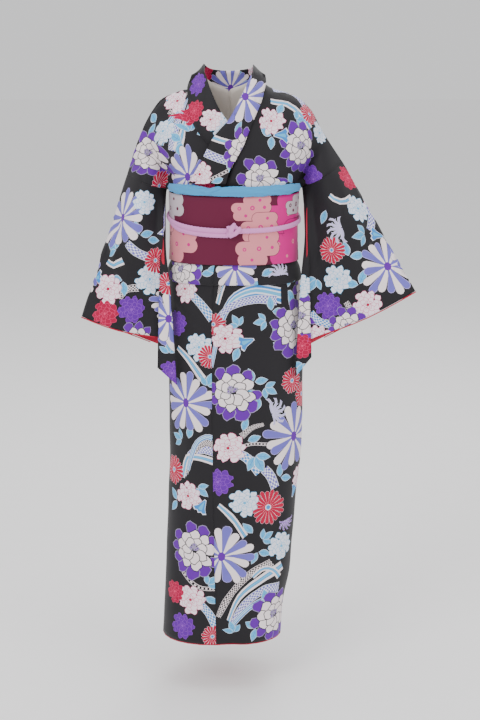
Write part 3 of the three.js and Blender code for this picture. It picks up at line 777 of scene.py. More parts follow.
class Panel:
    """A cloth panel: a grid of points, with a flat pattern beside it for the print."""

    def __init__(self, points, at, outward, fold=None, still=None):
        self.points = points
        across = np.linalg.norm(np.diff(points, axis=1), axis=2)
        along = np.linalg.norm(np.diff(points, axis=0), axis=2)
        self.a = np.concatenate([[0], np.cumsum(np.maximum(across.mean(0), 0.2))])
        self.b = np.concatenate([[0], np.cumsum(np.maximum(along.mean(1), 0.2))])
        self.pa = np.gradient(points, self.a, axis=1)
        self.pb = np.gradient(points, self.b, axis=0)
        self.normal = unit(np.cross(self.pa, self.pb))
        if self.normal[at].dot(outward) < 0:
            self.normal = -self.normal
        if fold is not None:
            move = fold(points, self.normal) * (1 if still is None else still)
            self.points = points + self.normal * move[..., None]

    def locate(self, x, z, side):
        """Where the panel's cloth is at (x, z) as seen from the front (side 1) or back (side -1)."""
        facing = -side * self.normal[..., 1] > 0.02
        far = (self.points[..., 0] - x) ** 2 + (self.points[..., 2] - z) ** 2 + np.where(facing, 0, 1e9)
        far = far + LAYER_WEIGHT * side * self.points[..., 1]
        i, j = np.unravel_index(np.argmin(far), far.shape)
        m = np.array([[self.pa[i, j, 0], self.pb[i, j, 0]], [self.pa[i, j, 2], self.pb[i, j, 2]]])
        d = np.array([x - self.points[i, j, 0], z - self.points[i, j, 2]])
        move = np.linalg.lstsq(m, d, rcond=None)[0] if np.linalg.norm(d) < REACH else np.zeros(2)
        if np.linalg.norm(move) > REACH:
            move = move * REACH / np.linalg.norm(move)
        return i, j, np.array([self.a[j], self.b[i]]) + move

    def flat(self, i, j):
        """The 2 x 2 matrix that turns (right, up) on the cloth into a step on the pattern."""
        n = self.normal[i, j]
        axis = np.array([1.0, 0, 0]) if abs(n[0]) < 0.93 else np.array([0, -1.0, 0])
        right = axis - n * axis.dot(n)
        right /= np.linalg.norm(right)
        up = np.array([0, 0, 1.0]) - n * n[2]
        up -= right * up.dot(right)
        up /= max(np.linalg.norm(up), 1e-6)
        p = np.stack([self.pa[i, j], self.pb[i, j]], 1)
        return np.linalg.lstsq(p, np.stack([right, up], 1), rcond=None)[0]

    def place(self, row, side):
        kind, x, z, size, turn = row
        size = size * GROWTH.get(kind, FLOWER_GROWTH)
        i, j, at = self.locate(x, z, side)
        m = self.flat(i, j)
        angle = math.radians(turn)
        return [(at + turned(shape, angle) @ m.T, colour) for shape, colour in FLOWERS[kind](size)]

    def ribbon(self, row, side):
        style, path, half_start, half_end = row
        middle = path[len(path) // 2]
        i, j, at = self.locate(middle[0], middle[1], side)
        m = self.flat(i, j)
        local = np.asarray(path, float) - middle
        return [(at + shape @ m.T, colour) for shape, colour in ribbon(local, half_start, half_end, style)]


def srgb(colour):
    c = np.array(colour, float) / 255
    return tuple(np.where(c <= 0.04045, c / 12.92, ((c + 0.055) / 1.055) ** 2.4)) + (1.0,)


def signed_area(p):
    q = np.roll(p, -1, axis=0)
    return 0.5 * (p[:, 0] * q[:, 1] - q[:, 0] * p[:, 1]).sum()


def counter_clockwise(p):
    return p if signed_area(p) > 0 else p[::-1]


BEND = 9.0
SPILT_SHARE = 1.4
SPILT_AREA = 4.0


def spaced(at, points, axis, step):
    """The rows or columns to keep: a step apart, and closer where the cloth bends."""
    lines = np.moveaxis(points, axis, 0)
    way = unit(np.gradient(lines, axis=0))
    kept = [0]
    for i in range(1, len(at)):
        bend = np.degrees(np.arccos(np.clip((way[i] * way[kept[-1]]).sum(1), -1, 1))).mean()
        if at[i] - at[kept[-1]] >= step or bend > BEND or i == len(at) - 1:
            kept.append(i)
    return np.array(kept)


def linked(data):
    """A new object of a mesh, light or camera, in the scene."""
    obj = bpy.data.objects.new(data.name, data)
    bpy.context.scene.collection.objects.link(obj)
    return obj


def print_edges(polygons, tones):
    """Where the print changes colour: points, edges, and the triangles with the tone of each."""
    faces, count = [], 0
    for p in polygons:
        faces.append(list(range(count, count + len(p))))
        count += len(p)
    every = [Vector(p) for p in np.concatenate(polygons)]
    verts, _, tris, _, _, owners = delaunay_2d_cdt(every, [], faces, 0, 1e-4, True)
    v = np.array([tuple(p) for p in verts])
    inside = [k for k, o in enumerate(owners) if 0 in o]
    tris = np.array([tris[k] for k in inside])
    one, two = v[tris[:, 1]] - v[tris[:, 0]], v[tris[:, 2]] - v[tris[:, 0]]
    size = np.abs(one[:, 0] * two[:, 1] - one[:, 1] * two[:, 0]) / 2
    covered = np.zeros(len(polygons))
    for k, area in zip(inside, size):
        covered[owners[k]] += area
    most = [SPILT_SHARE * signed_area(p) + SPILT_AREA for p in polygons]
    spilt = {n for n in range(1, len(polygons)) if covered[n] > most[n]}
    top = np.array([tones[max(o for o in owners[k] if o not in spilt)] for k in inside])
    sides = np.sort(np.concatenate([tris[:, [0, 1]], tris[:, [1, 2]], tris[:, [2, 0]]]), axis=1)
    edges, which = np.unique(sides, axis=0, return_inverse=True)
    which = which.ravel()
    low, high = np.full(len(edges), len(COLOURS)), np.full(len(edges), -1)
    np.minimum.at(low, which, np.tile(top, 3))
    np.maximum.at(high, which, np.tile(top, 3))
    edges = edges[(low != high) | (np.bincount(which) == 1)]
    used, edges = np.unique(edges, return_inverse=True)
    tree = BVHTree.FromPolygons([(x, y, 0.0) for x, y in v], tris.tolist())
    return v[used], edges.reshape(-1, 2), tree, top


def printed(name, panel, shapes, ground, step, weld):
    """A mesh of the panel with its print cut into its faces and coloured."""
    a, b = panel.a, panel.b
    ia = spaced(a, panel.points, 1, step)
    ib = spaced(b, panel.points, 0, step)
    grid_a, grid_b = np.meshgrid(a[ia], b[ib])
    flat = np.stack([grid_a.ravel(), grid_b.ravel()], 1)
    rim = np.array([(0, 0), (a[-1], 0), (a[-1], b[-1]), (0, b[-1])])
    limit = rim[2]
    shapes = [(s, c) for s, c in shapes if (s.max(0) > 0).all() and (s.min(0) < limit).all()]
    polygons = [rim] + [counter_clockwise(s) for s, _ in shapes]
    names = list(COLOURS)
    tones = [names.index(c) for c in [ground] + [c for _, c in shapes]]
    edge_points, edges, tree, top = print_edges(polygons, tones)
    every = [Vector(p) for p in np.concatenate([flat, edge_points])]
    verts, _, tris, _, _, _ = delaunay_2d_cdt(every, (edges + len(flat)).tolist(), [], 0, 1e-4, True)
    v = np.array([tuple(p) for p in verts])
    v = np.clip(v, 0, limit)
    centres = v[np.array(tris)].mean(1)
    tone = [top[tree.find_nearest((x, y, 0.0))[2]] for x, y in centres]
    j = np.clip(np.searchsorted(a, v[:, 0], side="right") - 1, 0, len(a) - 2)
    i = np.clip(np.searchsorted(b, v[:, 1], side="right") - 1, 0, len(b) - 2)
    s = ((v[:, 0] - a[j]) / (a[j + 1] - a[j]))[:, None]
    t = ((v[:, 1] - b[i]) / (b[i + 1] - b[i]))[:, None]

    def sample(field):
        low = field[i, j] * (1 - s) + field[i, j + 1] * s
        high = field[i + 1, j] * (1 - s) + field[i + 1, j + 1] * s
        return low * (1 - t) + high * t

    points = sample(panel.points) * MM
    normals = sample(panel.normal)
    mesh = bpy.data.meshes.new(name)
    mesh.from_pydata(points.tolist(), [], tris)
    table = np.array([srgb(COLOURS[c]) for c in names])
    tint = mesh.color_attributes.new("print", "FLOAT_COLOR", "CORNER")
    loops = np.zeros(len(mesh.polygons), int)
    mesh.polygons.foreach_get("loop_total", loops)
    tint.data.foreach_set("color", np.repeat(table[tone], loops, axis=0).ravel())
    uv = mesh.uv_layers.new(name="cloth")
    corner = np.zeros(len(mesh.loops), int)
    mesh.loops.foreach_get("vertex_index", corner)
    uv.data.foreach_set("uv", (v[corner] * MM).ravel())
    first = mesh.polygons[0]
    if np.dot(first.normal, normals[first.vertices[0]]) < 0:
        mesh.flip_normals()
    if weld:
        shape = bmesh.new()
        shape.from_mesh(mesh)
        rim_verts = [vert for vert in shape.verts if vert.is_boundary]
        bmesh.ops.remove_doubles(shape, verts=rim_verts, dist=0.0002)
        shape.to_mesh(mesh)
        shape.free()
    mesh.shade_smooth()
    return linked(mesh)


# Main creases: start (x, z), end (x, z), half width, height, side (1 front, -1 back).
CREASES = [
    (-128, -455, -60, -560, 12, 2.2, 1),
    (60, -452, 128, -520, 13, 2.4, 1),
    (-30, -450, 10, -640, 16, 1.6, 1),
    (95, -600, 60, -900, 20, 2.2, 1),
    (-105, -640, -88, -930, 16, 1.8, 1),
    (20, -820, 40, -1150, 20, 1.8, 1),
    (120, -930, 96, -1285, 18, 2.6, 1),
    (-120, -1010, -96, -1285, 15, 2.2, 1),
    (70, -1080, 10, -1285, 16, 2.0, 1),
    (-24, -470, 40, -500, 9, 1.4, 1),
    (-100, -470, -40, -486, 8, 1.2, 1),
    (84, -40, 150, -190, 14, 3.0, 1),
    (112, -30, 176, -170, 13, 3.4, 1),
    (60, -120, 130, -212, 10, 2.4, 1),
    (-110, -30, -150, -190, 14, 3.0, 1),
    (-135, -40, -192, -180, 13, 3.2, 1),
    (-98, -120, -140, -214, 10, 2.2, 1),
    (-20, -180, 60, -222, 9, 1.6, 1),
    (-90, -60, -140, -200, 15, 3.0, -1),
    (92, -60, 146, -200, 15, 3.2, -1),
    (-60, -130, -110, -222, 11, 2.2, -1),
    (64, -150, 108, -222, 11, 2.0, -1),
    (20, -100, 12, -222, 12, 1.6, -1),
    (-118, -455, -70, -700, 16, 2.4, -1),
    (70, -460, 112, -720, 16, 2.2, -1),
    (-30, -520, -46, -900, 20, 2.0, -1),
    (36, -600, 24, -980, 20, 2.0, -1),
    (-112, -820, -90, -1285, 18, 2.4, -1),
    (96, -860, 120, -1285, 18, 2.6, -1),
    (-8, -960, -40, -1285, 18, 2.2, -1),
    (58, -1000, 40, -1285, 16, 2.0, -1),
    (262, -190, 214, -420, 12, 3.4, 1),
    (300, -230, 240, -520, 13, 3.8, 1),
    (342, -290, 276, -520, 13, 3.2, 1),
    (378, -350, 318, -500, 11, 2.6, 1),
    (226, -230, 188, -440, 10, 2.6, 1),
    (236, -250, 300, -330, 12, 2.4, 1),
    (-262, -230, -206, -440, 12, 3.2, 1),
    (-290, -290, -232, -540, 13, 3.8, 1),
    (-318, -360, -262, -560, 12, 3.0, 1),
    (-236, -290, -192, -480, 10, 2.6, 1),
    (-232, -280, -284, -350, 12, 2.2, 1),
    (270, -210, 232, -470, 13, 3.4, -1),
    (326, -270, 262, -520, 14, 3.6, -1),
    (372, -350, 300, -510, 12, 2.8, -1),
    (-266, -250, -214, -480, 13, 3.4, -1),
    (-304, -330, -246, -560, 13, 3.2, -1),
]
FOLD_END = 0.28
CREASE_GAIN = 1.4


def creases(points, normal):
    """How far each point of the cloth moves out along its normal."""
    x, z = points[..., 0], points[..., 2]
    move = np.zeros(x.shape)
    for x0, z0, x1, z1, half, height, side in CREASES:
        length = math.hypot(x1 - x0, z1 - z0)
        ux, uz = (x1 - x0) / length, (z1 - z0) / length
        along = ((x - x0) * ux + (z - z0) * uz) / length
        across = (x - x0) * uz - (z - z0) * ux + 7 * np.sin(along * 5.2 + x0)
        ends = smooth(along / FOLD_END) * smooth((1 - along) / FOLD_END)
        facing = smooth((-side * normal[..., 1] + 0.1) / 0.5)
        wave = np.exp(-((across / half) ** 2)) - 0.55 * np.exp(-(((across - 1.7 * half) / half) ** 2))
        move += CREASE_GAIN * height * wave * ends * facing
    ripple = 0.5 * np.sin(x * 0.045 + z * 0.011) * np.sin(z * 0.019 + 1.3)
    ripple = ripple + 0.3 * np.sin(x * 0.09 - z * 0.05 + 0.6)
    return (move + ripple) * (1 - smooth((HEM + 14 - z) / 10))


# Print of each piece. Flowers: kind, x, z, size, turn in degrees, seen square to the cloth.
# Ribbons: kind, path (x, z), half width at the start and at the end.
SKIRT_LEFT = [
    ("daisy", 140, -795, 76, 8),
    ("daisy", -30, -1080, 70, 0),
    ("daisy", 4, -388, 56, 4),
    ("peony", -5, -680, 56, 10),
    ("peony", 136, -535, 56, -25),
    ("peony", 96, -1240, 58, 30),
    ("aster", -47, -520, 25, 0),
    ("aster", 135, -660, 29, 20),
    ("aster", 80, -960, 41, 0),
    ("pink", -20, -552, 31, 0),
    ("pink", -14, -812, 33, 40),
    ("ice", 25, -945, 31, 10),
    ("ice", 112, -1062, 31, 70),
    ("violet", -38, -895, 29, 20),
    ("spider", 88, -732, 33, 20),
    ("spider_dark", 122, -1000, 22, -80),
    ("spider", 106, -408, 26, 100),
    ("leaves", 12, -524, 22, 120),
    ("leaf", 12, -572, 26, 250),
    ("pair", 46, -655, 24, 60),
    ("leaves", 70, -668, 24, -30),
    ("pair", 60, -692, 24, 200),
    ("pair", 86, -490, 24, 45),
    ("leaves", 74, -512, 22, 190),
    ("leaf", 88, -530, 26, -50),
    ("pair", 122, -440, 26, 10),
    ("leaf", 118, -582, 26, 150),
    ("leaf", 20, -772, 26, 70),
    ("leaf", 30, -796, 26, 20),
    ("leaves", 48, -830, 34, -60),
    ("pair", 108, -890, 24, 40),
    ("leaf", 45, -1022, 26, 130),
    ("leaves", 66, -1040, 24, 30),
    ("pair", 56, -1068, 24, -70),
    ("pair", 52, -1262, 24, 200),
    ("leaf", 76, -1200, 26, 100),
    ("leaves", 0, -1272, 22, 110),
    ("leaf", 62, -408, 24, 30),
    ("bell", 30, -560, 17, 200),
    ("bell", 142, -935, 15, 60),
    ("crimson", 150, -1160, 26, 0),
    ("pink", 152, -900, 26, 0),
    ("ice", 152, -1285, 28, 0),
    ("peony", 158, -462, 44, 60),
    ("leaves", 158, -610, 26, 90),
    ("aster", 159, -700, 30, 0),
    ("ice", 157, -985, 29, 0),
    ("violet", 157, -1075, 27, 0),
    ("leaves", 157, -1130, 26, 200),
    ("pink", 157, -1210, 29, 0),
]
SKIRT_LEFT_RIBBONS = [
    ("white", [(-47, -512), (-24, -462), (14, -428), (62, -424)], 5, 8),
    ("sky", [(-47, -520), (-10, -458), (42, -440), (112, -446)], 4, 7),
    ("dots", [(-47, -528), (0, -478), (50, -462), (100, -466)], 5, 9),
    ("checks", [(-47, -500), (-30, -450), (0, -416), (30, -406)], 4, 6),
    ("white", [(-40, -1242), (4, -1180), (62, -1140), (122, -1112)], 5, 10),
    ("dots", [(-40, -1250), (16, -1196), (70, -1168), (112, -1168)], 6, 11),
    ("checks", [(-40, -1232), (-6, -1172), (40, -1122), (84, -1100)], 5, 8),
    ("sky", [(-40, -1258), (22, -1212), (66, -1196), (100, -1196)], 5, 8),
    ("white", [(42, -1130), (66, -1112), (92, -1118), (110, -1140)], 4, 6),
    ("bluedots", [(4, -824), (30, -836), (62, -872)], 8, 10),
    ("dots", [(70, -864), (86, -884), (98, -914)], 9, 9),
    ("checks", [(18, -784), (42, -764), (70, -756)], 6, 3),
    ("lines", [(8, -812), (46, -802), (90, -806)], 3, 3),
    ("white", [(-40, -952), (-12, -976), (30, -1028)], 5, 7),
]
OVERLAP_LEFT = [
    ("daisy", -112, -710, 70, 0),
    ("peony", -96, -1066, 58, -15),
    ("peony", -120, -400, 46, 30),
    ("pink", -112, -442, 29, 0),
    ("pink", -108, -935, 31, 60),
    ("pink", -104, -1190, 33, 0),
    ("ice", -80, -575, 30, 0),
    ("aster", -142, -880, 33, 0),
    ("aster", -55, -596, 27, 0),
    ("aster", -52, -1280, 26, 0),
    ("violet", -132, -525, 27, 0),
    ("violet", -124, -1260, 29, 0),
    ("crimson", -142, -1180, 25, 0),
    ("bell", -75, -955, 17, 240),
    ("pair", -75, -404, 22, 60),
    ("leaf", -62, -396, 24, 10),
    ("leaf", -85, -428, 26, 140),
    ("leaves", -62, -666, 24, 70),
    ("leaf", -52, -704, 24, -20),
    ("leaves", -122, -802, 24, 160),
    ("leaf", -106, -796, 26, 80),
    ("leaves", -86, -910, 24, -40),
    ("pair", -134, -952, 24, 180),
    ("leaf", -54, -1050, 26, 200),
    ("leaves", -64, -1150, 24, 40),
    ("pair", -70, -1180, 24, -80),
]
OVERLAP_LEFT_RIBBONS = [
    ("dots", [(-122, -886), (-104, -836), (-76, -818), (-46, -822)], 6, 9),
    ("checks", [(-116, -880), (-92, -822), (-66, -802), (-46, -806)], 5, 7),
    ("white", [(-126, -892), (-112, -842), (-80, -838), (-46, -846)], 5, 7),
    ("sky", [(-110, -872), (-90, -808), (-66, -788), (-50, -790)], 4, 6),
    ("white", [(-138, -582), (-106, -604), (-68, -650)], 5, 8),
    ("bluedots", [(-100, -452), (-76, -474), (-48, -508)], 7, 9),
    ("bluedots", [(-82, -1198), (-60, -1222), (-44, -1256)], 7, 8),
    ("lines", [(-128, -1124), (-86, -1156), (-46, -1160)], 4, 4),
]
CHEST_LEFT = [
    ("peony", 150, -122, 50, 0),
    ("peony", 60, -192, 46, 15),
    ("pink", 84, -62, 29, 0),
    ("bell", 106, -92, 17, 0),
    ("leaf", 98, -48, 24, 60),
    ("pair", 86, -94, 22, 210),
    ("leaves", 140, -60, 24, 20),
    ("leaf", 122, -178, 26, -60),
    ("violet", 182, -196, 26, 0),
    ("aster", 172, -50, 25, 0),
    ("ice", 106, -222, 26, 0),
    ("ice", 196, -92, 24, 0),
]
CHEST_LEFT_RIBBONS = [
    ("dots", [(76, -10), (112, -4), (146, -12), (172, -40)], 7, 9),
    ("white", [(72, -24), (120, -26), (184, -58)], 5, 8),
    ("checks", [(76, 2), (110, 6), (132, -2)], 4, 6),
]
CHEST_RIGHT = [
    ("daisy", -104, -186, 60, 0),
    ("peony", -198, -142, 48, 0),
    ("pink", -128, -20, 28, 0),
    ("crimson", -92, -44, 26, 0),
    ("crimson", -66, -216, 26, 0),
    ("leaves", -98, -86, 24, 100),
    ("pair", -116, -108, 24, 200),
    ("leaf", -84, -92, 22, 20),
    ("leaves", -150, -28, 24, 30),
    ("pair", -178, -68, 24, 170),
    ("bell", -70, -180, 16, 60),
    ("ice", -160, -86, 24, 0),
    ("aster", -172, -212, 27, 0),
]
CHEST_RIGHT_RIBBONS = [
    ("dots", [(-96, -4), (-120, -44), (-134, -88), (-150, -128)], 5, 9),
    ("white", [(-88, -8), (-108, -54), (-116, -94), (-126, -128)], 4, 7),
    ("sky", [(-104, 0), (-132, -38), (-150, -76), (-174, -110)], 4, 7),
    ("checks", [(-100, 4), (-124, -24), (-142, -50)], 4, 6),
]
COLLAR_PRINT = [
    ("daisy", 26, -8, 62, 0),
    ("peony", 22, -128, 40, 0),
    ("ice", -34, -66, 26, 0),
    ("leaves", -14, -168, 22, 20),
    ("leaf", -22, -186, 22, 200),
    ("pink", -76, -178, 27, 0),
    ("leaf", 2, -86, 22, 60),
    ("violet", -78, 16, 22, 0),
    ("crimson", -88, -40, 24, 0),
    ("pink", -52, -58, 22, 0),
]
COLLAR_RIBBONS = [
    ("dots", [(-64, -132), (-34, -142), (-6, -150)], 6, 8),
    ("lines", [(-58, -192), (-34, -180), (-8, -166)], 3, 3),
    ("white", [(-52, -94), (-24, -104), (8, -112)], 5, 6),
]
COLLAR_BACK = [
    ("daisy", -8, 4, 52, 0),
    ("pink", 50, 40, 24, 0),
    ("crimson", -70, 34, 24, 0),
    ("leaves", 30, 26, 22, 200),
]
SLEEVE_LEFT = [
    ("daisy", 352, -392, 66, 0),
    ("aster", 222, -352, 29, 0),
    ("violet", 216, -482, 29, 0),
    ("ice", 236, -418, 30, 0),
    ("ice", 284, -262, 30, 0),
    ("pink", 306, -476, 31, 0),
    ("spider", 244, -300, 30, 200),
    ("crimson", 262, -196, 27, 0),
    ("peony", 262, -532, 44, 0),
    ("leaves", 300, -318, 26, 200),
    ("pair", 262, -366, 26, 60),
    ("leaf", 210, -262, 26, 250),
    ("leaves", 190, -420, 24, 240),
    ("pair", 286, -430, 26, 120),
    ("bell", 330, -322, 17, 180),
    ("pink", 196, -560, 30, 0),
    ("peony", 154, -510, 50, 0),
    ("crimson", 158, -576, 26, 0),
    ("leaves", 160, -616, 24, 250),
    ("ice", 152, -436, 26, 0),
]
SLEEVE_LEFT_RIBBONS = [
    ("dots", [(300, -238), (316, -280), (312, -322)], 7, 9),
    ("white", [(216, -232), (246, -244), (276, -228)], 5, 7),
    ("bluedots", [(176, -500), (196, -520), (226, -524)], 7, 8),
    ("checks", [(256, -470), (276, -500), (310, -520)], 5, 7),
]
SLEEVE_RIGHT = [
    ("daisy", -256, -282, 66, 0),
    ("daisy", -176, -516, 54, 0),
    ("pink", -288, -442, 32, 0),
    ("crimson", -296, -498, 28, 0),
    ("violet", -234, -487, 29, 0),
    ("ice", -192, -420, 32, 0),
    ("aster", -180, -378, 28, 0),
    ("leaves", -268, -352, 26, 150),
    ("pair", -214, -318, 24, 60),
    ("leaf", -198, -330, 26, 0),
    ("pair", -252, -420, 24, 220),
    ("peony", -226, -566, 42, 0),
    ("bell", -318, -420, 16, 0),
    ("leaf", -262, -546, 26, 300),
    ("ice", -204, -246, 26, 0),
    ("daisy", -150, -512, 60, 0),
    ("leaves", -150, -594, 24, 90),
    ("violet", -144, -640, 27, 0),
    ("aster", -150, -430, 26, 0),
]
SLEEVE_RIGHT_RIBBONS = [
    ("dots", [(-160, -250), (-158, -280), (-164, -322)], 7, 9),
    ("dots", [(-242, -336), (-220, -356), (-194, -370)], 7, 8),
    ("white", [(-300, -376), (-276, -388), (-250, -380)], 5, 7),
    ("checks", [(-262, -462), (-244, -440), (-216, -438)], 5, 7),
]
BACK = [
    ("daisy", 96, -60, 60, 20),
    ("pink", 34, -40, 30, 0),
    ("peony", 52, -138, 50, 40),
    ("ice", 128, -150, 29, 0),
    ("violet", 176, -110, 26, 0),
    ("aster", 104, -206, 30, 0),
    ("daisy", 48, -412, 56, 8),
    ("crimson", 122, -432, 27, 0),
    ("pink", 20, -500, 31, 0),
    ("peony", 104, -540, 56, 70),
    ("leaves", 60, -500, 26, 120),
    ("ice", 50, -598, 31, 0),
    ("aster", 134, -632, 31, 0),
    ("daisy", 62, -706, 74, 12),
    ("pair", 128, -690, 26, 20),
    ("violet", 140, -760, 28, 0),
    ("bell", 20, -612, 17, 90),
    ("leaves", 20, -790, 26, 200),
    ("pink", 96, -818, 33, 0),
    ("peony", 30, -880, 55, 120),
    ("aster", 122, -900, 40, 0),
    ("spider", 84, -962, 33, 60),
    ("ice", 22, -978, 31, 0),
    ("daisy", 120, -1050, 70, 0),
    ("leaf", 60, -1012, 28, 40),
    ("crimson", 50, -1096, 27, 0),
    ("pink", 26, -1160, 31, 0),
    ("leaves", 60, -1150, 26, 30),
    ("peony", 86, -1226, 56, 200),
    ("violet", 16, -1256, 29, 0),
    ("ice", 142, -1180, 29, 0),
    ("bell", 22, -1080, 17, 300),
]
BACK_REPEAT = (-164, -96)
BACK_REPEAT_TURN = 40
SLEEVE_BACK_MIRROR = (46, -40)
RIGHT_STRIP_END = -118
BACK_RIGHT_TOP = [
    ("pink", -50, -30, 30, 0),
    ("peony", -118, -50, 46, 0),
    ("leaves", -60, -86, 26, 200),
    ("ice", -170, -90, 26, 0),
    ("aster", -20, -410, 29, 0),
    ("violet", -90, -404, 27, 0),
    ("pink", -157, -470, 30, 0),
    ("peony", -157, -560, 46, 30),
    ("leaves", -156, -640, 26, 90),
    ("daisy", -156, -740, 60, 0),
    ("crimson", -154, -840, 27, 0),
    ("pair", -154, -900, 26, 60),
    ("ice", -152, -950, 29, 0),
    ("aster", -154, -1040, 34, 0),
    ("leaves", -154, -1110, 26, 200),
    ("pink", -154, -1170, 30, 0),
    ("violet", -158, -1250, 28, 0),
]
BACK_RIBBONS = [
    ("dots", [(20, -452), (50, -470), (90, -468), (140, -484)], 6, 10),
    ("white", [(20, -464), (48, -486), (92, -492), (136, -512)], 5, 9),
    ("checks", [(14, -640), (34, -660), (60, -664)], 5, 7),
    ("dots", [(146, -826), (120, -850), (84, -856)], 9, 6),
    ("sky", [(150, -840), (122, -866), (84, -870)], 6, 4),
    ("white", [(10, -1030), (40, -1050), (60, -1070)], 5, 7),
    ("bluedots", [(100, -1140), (126, -1150), (150, -1140)], 7, 9),
]
SLEEVE_BACK = [
    ("daisy", 330, -390, 60, 0),
    ("peony", 258, -520, 46, 0),
    ("pink", 284, -270, 30, 0),
    ("aster", 240, -300, 28, 0),
    ("violet", 222, -420, 28, 0),
    ("ice", 290, -470, 30, 0),
    ("leaves", 250, -360, 26, 30),
    ("pair", 300, -330, 26, 100),
    ("crimson", 250, -230, 26, 0),
]


def shifted(rows):
    """The left back's flowers again on the right, moved and turned."""
    dx, dz = BACK_REPEAT
    return [(kind, x + dx, z + dz, size, turn + BACK_REPEAT_TURN) for kind, x, z, size, turn in rows]


def shifted_ribbons(rows):
    dx, dz = BACK_REPEAT
    return [(style, [(x + dx, z + dz) for x, z in path], start, end) for style, path, start, end in rows]


def mirrored(rows):
    """The left sleeve's back flowers again on the right sleeve."""
    dx, dz = SLEEVE_BACK_MIRROR
    return [(kind, -x + dx, z + dz, size, 180 - turn) for kind, x, z, size, turn in rows]


def design(panel, *groups):
    """All shapes of a piece: groups of (motifs, ribbons, side). Ribbons lie under the flowers."""
    shapes = []
    for motifs, ribbons, side in groups:
        for row in ribbons:
            shapes += panel.ribbon(row, side)
        small = [row for row in motifs if row[0] in ("leaves", "pair", "leaf")]
        for row in small + [row for row in motifs if row not in small]:
            shapes += panel.place(row, side)
    return shapes


def rounded_box(x, y, w, h, r, count=4):
    p = []
    for k, (sx, sy) in enumerate(((1, 1), (-1, 1), (-1, -1), (1, -1))):
        for a in np.linspace(0, 90, count + 1):
            t = math.radians(a + 90 * k)
            p.append((x + sx * (w / 2 - r) + r * math.cos(t), y + sy * (h / 2 - r) + r * math.sin(t)))
    return np.array(p)


def cloud(x, y, w, h, fill, edge):
    """A band of cloud: stacked rounded bars with a thin edge."""
    shapes = []
    bars = ((0, 0, 1.0, 0.4), (-0.12, 0.3, 0.66, 0.4), (0.14, -0.3, 0.7, 0.4))
    for grow, colour in ((1.0, edge), (0.0, fill)):
        for bx, by, bw, bh in bars:
            tall = bh * h + grow * 2
            bar = rounded_box(x + bx * w, y + by * h, bw * w + grow * 2, tall, tall * 0.499)
            shapes.append((bar, colour))
    return shapes


BELT_CLOUDS = [
    (-0.225, -0.34, 118, 76, "dove"),
    (-0.185, 0.28, 126, 84, "salmon"),
    (-0.250, 0.02, 76, 44, "salmon"),
    (0.215, 0.00, 120, 84, "magenta"),
    (0.165, -0.27, 150, 104, "magenta"),
    (0.190, 0.24, 150, 104, "magenta"),
    (0.050, -0.40, 92, 58, "salmon"),
    (0.075, -0.06, 88, 66, "salmon"),
    (0.070, 0.32, 104, 84, "salmon"),
    (0.205, -0.42, 78, 44, "dove"),
    (0.310, -0.10, 104, 66, "salmon"),
    (0.350, 0.34, 112, 58, "salmon"),
    (0.440, -0.28, 110, 72, "dove"),
    (-0.450, 0.24, 120, 76, "magenta"),
    (-0.400, -0.34, 104, 58, "salmon"),
    (-0.335, 0.26, 92, 60, "salmon"),
]
CLOUD_DOTS = [(-0.3, 0.02, 4.4), (0.02, 0.0, 5.4), (0.32, -0.02, 4.0), (-0.14, 0.3, 3.6), (0.2, -0.3, 3.6)]
DOT_FOR = {"salmon": "magenta", "dove": "wine", "magenta": "salmon"}


def belt_design(panel):
    """Clouds and dots over a woven piece; places are shares of its length and width."""
    wide, high = panel.a[-1], panel.b[-1]
    shapes = []
    for fx, fy, w, h, colour in BELT_CLOUDS:
        x, y = (0.5 + fx * 0.96) * wide, (0.5 + fy * 0.82) * high
        shapes += cloud(x, y, w, h, colour, "wine_dark")
        for dx, dy, r in CLOUD_DOTS:
            shapes.append((circle(x + dx * w, y + dy * h, r, 12), DOT_FOR[colour]))
            if r > 4.2:
                shapes.append((circle(x + dx * w, y + dy * h, r * 0.45, 8), colour))
    return shapes


PATCHES = 14.0
PALE_LINING = (226, 218, 208)
LINING_RED = (178, 14, 50)
SASH_BLUE = (58, 148, 202)
CORD_PINK = (214, 136, 198)
FLOOR_WHITE = (251, 250, 250)


def noise(nodes, links, where, scale, detail):
    """The socket of an uneven pattern."""
    texture = nodes.new("ShaderNodeTexNoise")
    texture.inputs["Scale"].default_value = scale
    texture.inputs["Detail"].default_value = detail
    links.new(where, texture.inputs["Vector"])
    return texture.outputs["Fac"]


def swatch(nodes, colour):
    """The socket of one colour."""
    dye = nodes.new("ShaderNodeRGB")
    dye.outputs[0].default_value = srgb(colour)
    return dye.outputs[0]


def material(name, build, roughness, sheen, weave=(900.0, 0.05)):
    """A cloth material: build gives the socket of its colour, weave its threads' fineness and depth."""
    m = bpy.data.materials.new(name)
    m.use_nodes = True
    nodes, links = m.node_tree.nodes, m.node_tree.links
    shader = nodes["Principled BSDF"]
    shader.inputs["Roughness"].default_value = roughness
    shader.inputs["Sheen Weight"].default_value = sheen
    shader.inputs["Sheen Roughness"].default_value = 0.5
    shader.inputs["Specular IOR Level"].default_value = 0.25
    where = nodes.new("ShaderNodeTexCoord").outputs["Object"]
    links.new(build(nodes, links, where), shader.inputs["Base Color"])
    bump = nodes.new("ShaderNodeBump")
    bump.inputs["Strength"].default_value = weave[1]
    bump.inputs["Distance"].default_value = 0.001
    links.new(noise(nodes, links, where, weave[0], 2), bump.inputs["Height"])
    links.new(bump.outputs["Normal"], shader.inputs["Normal"])
    return m


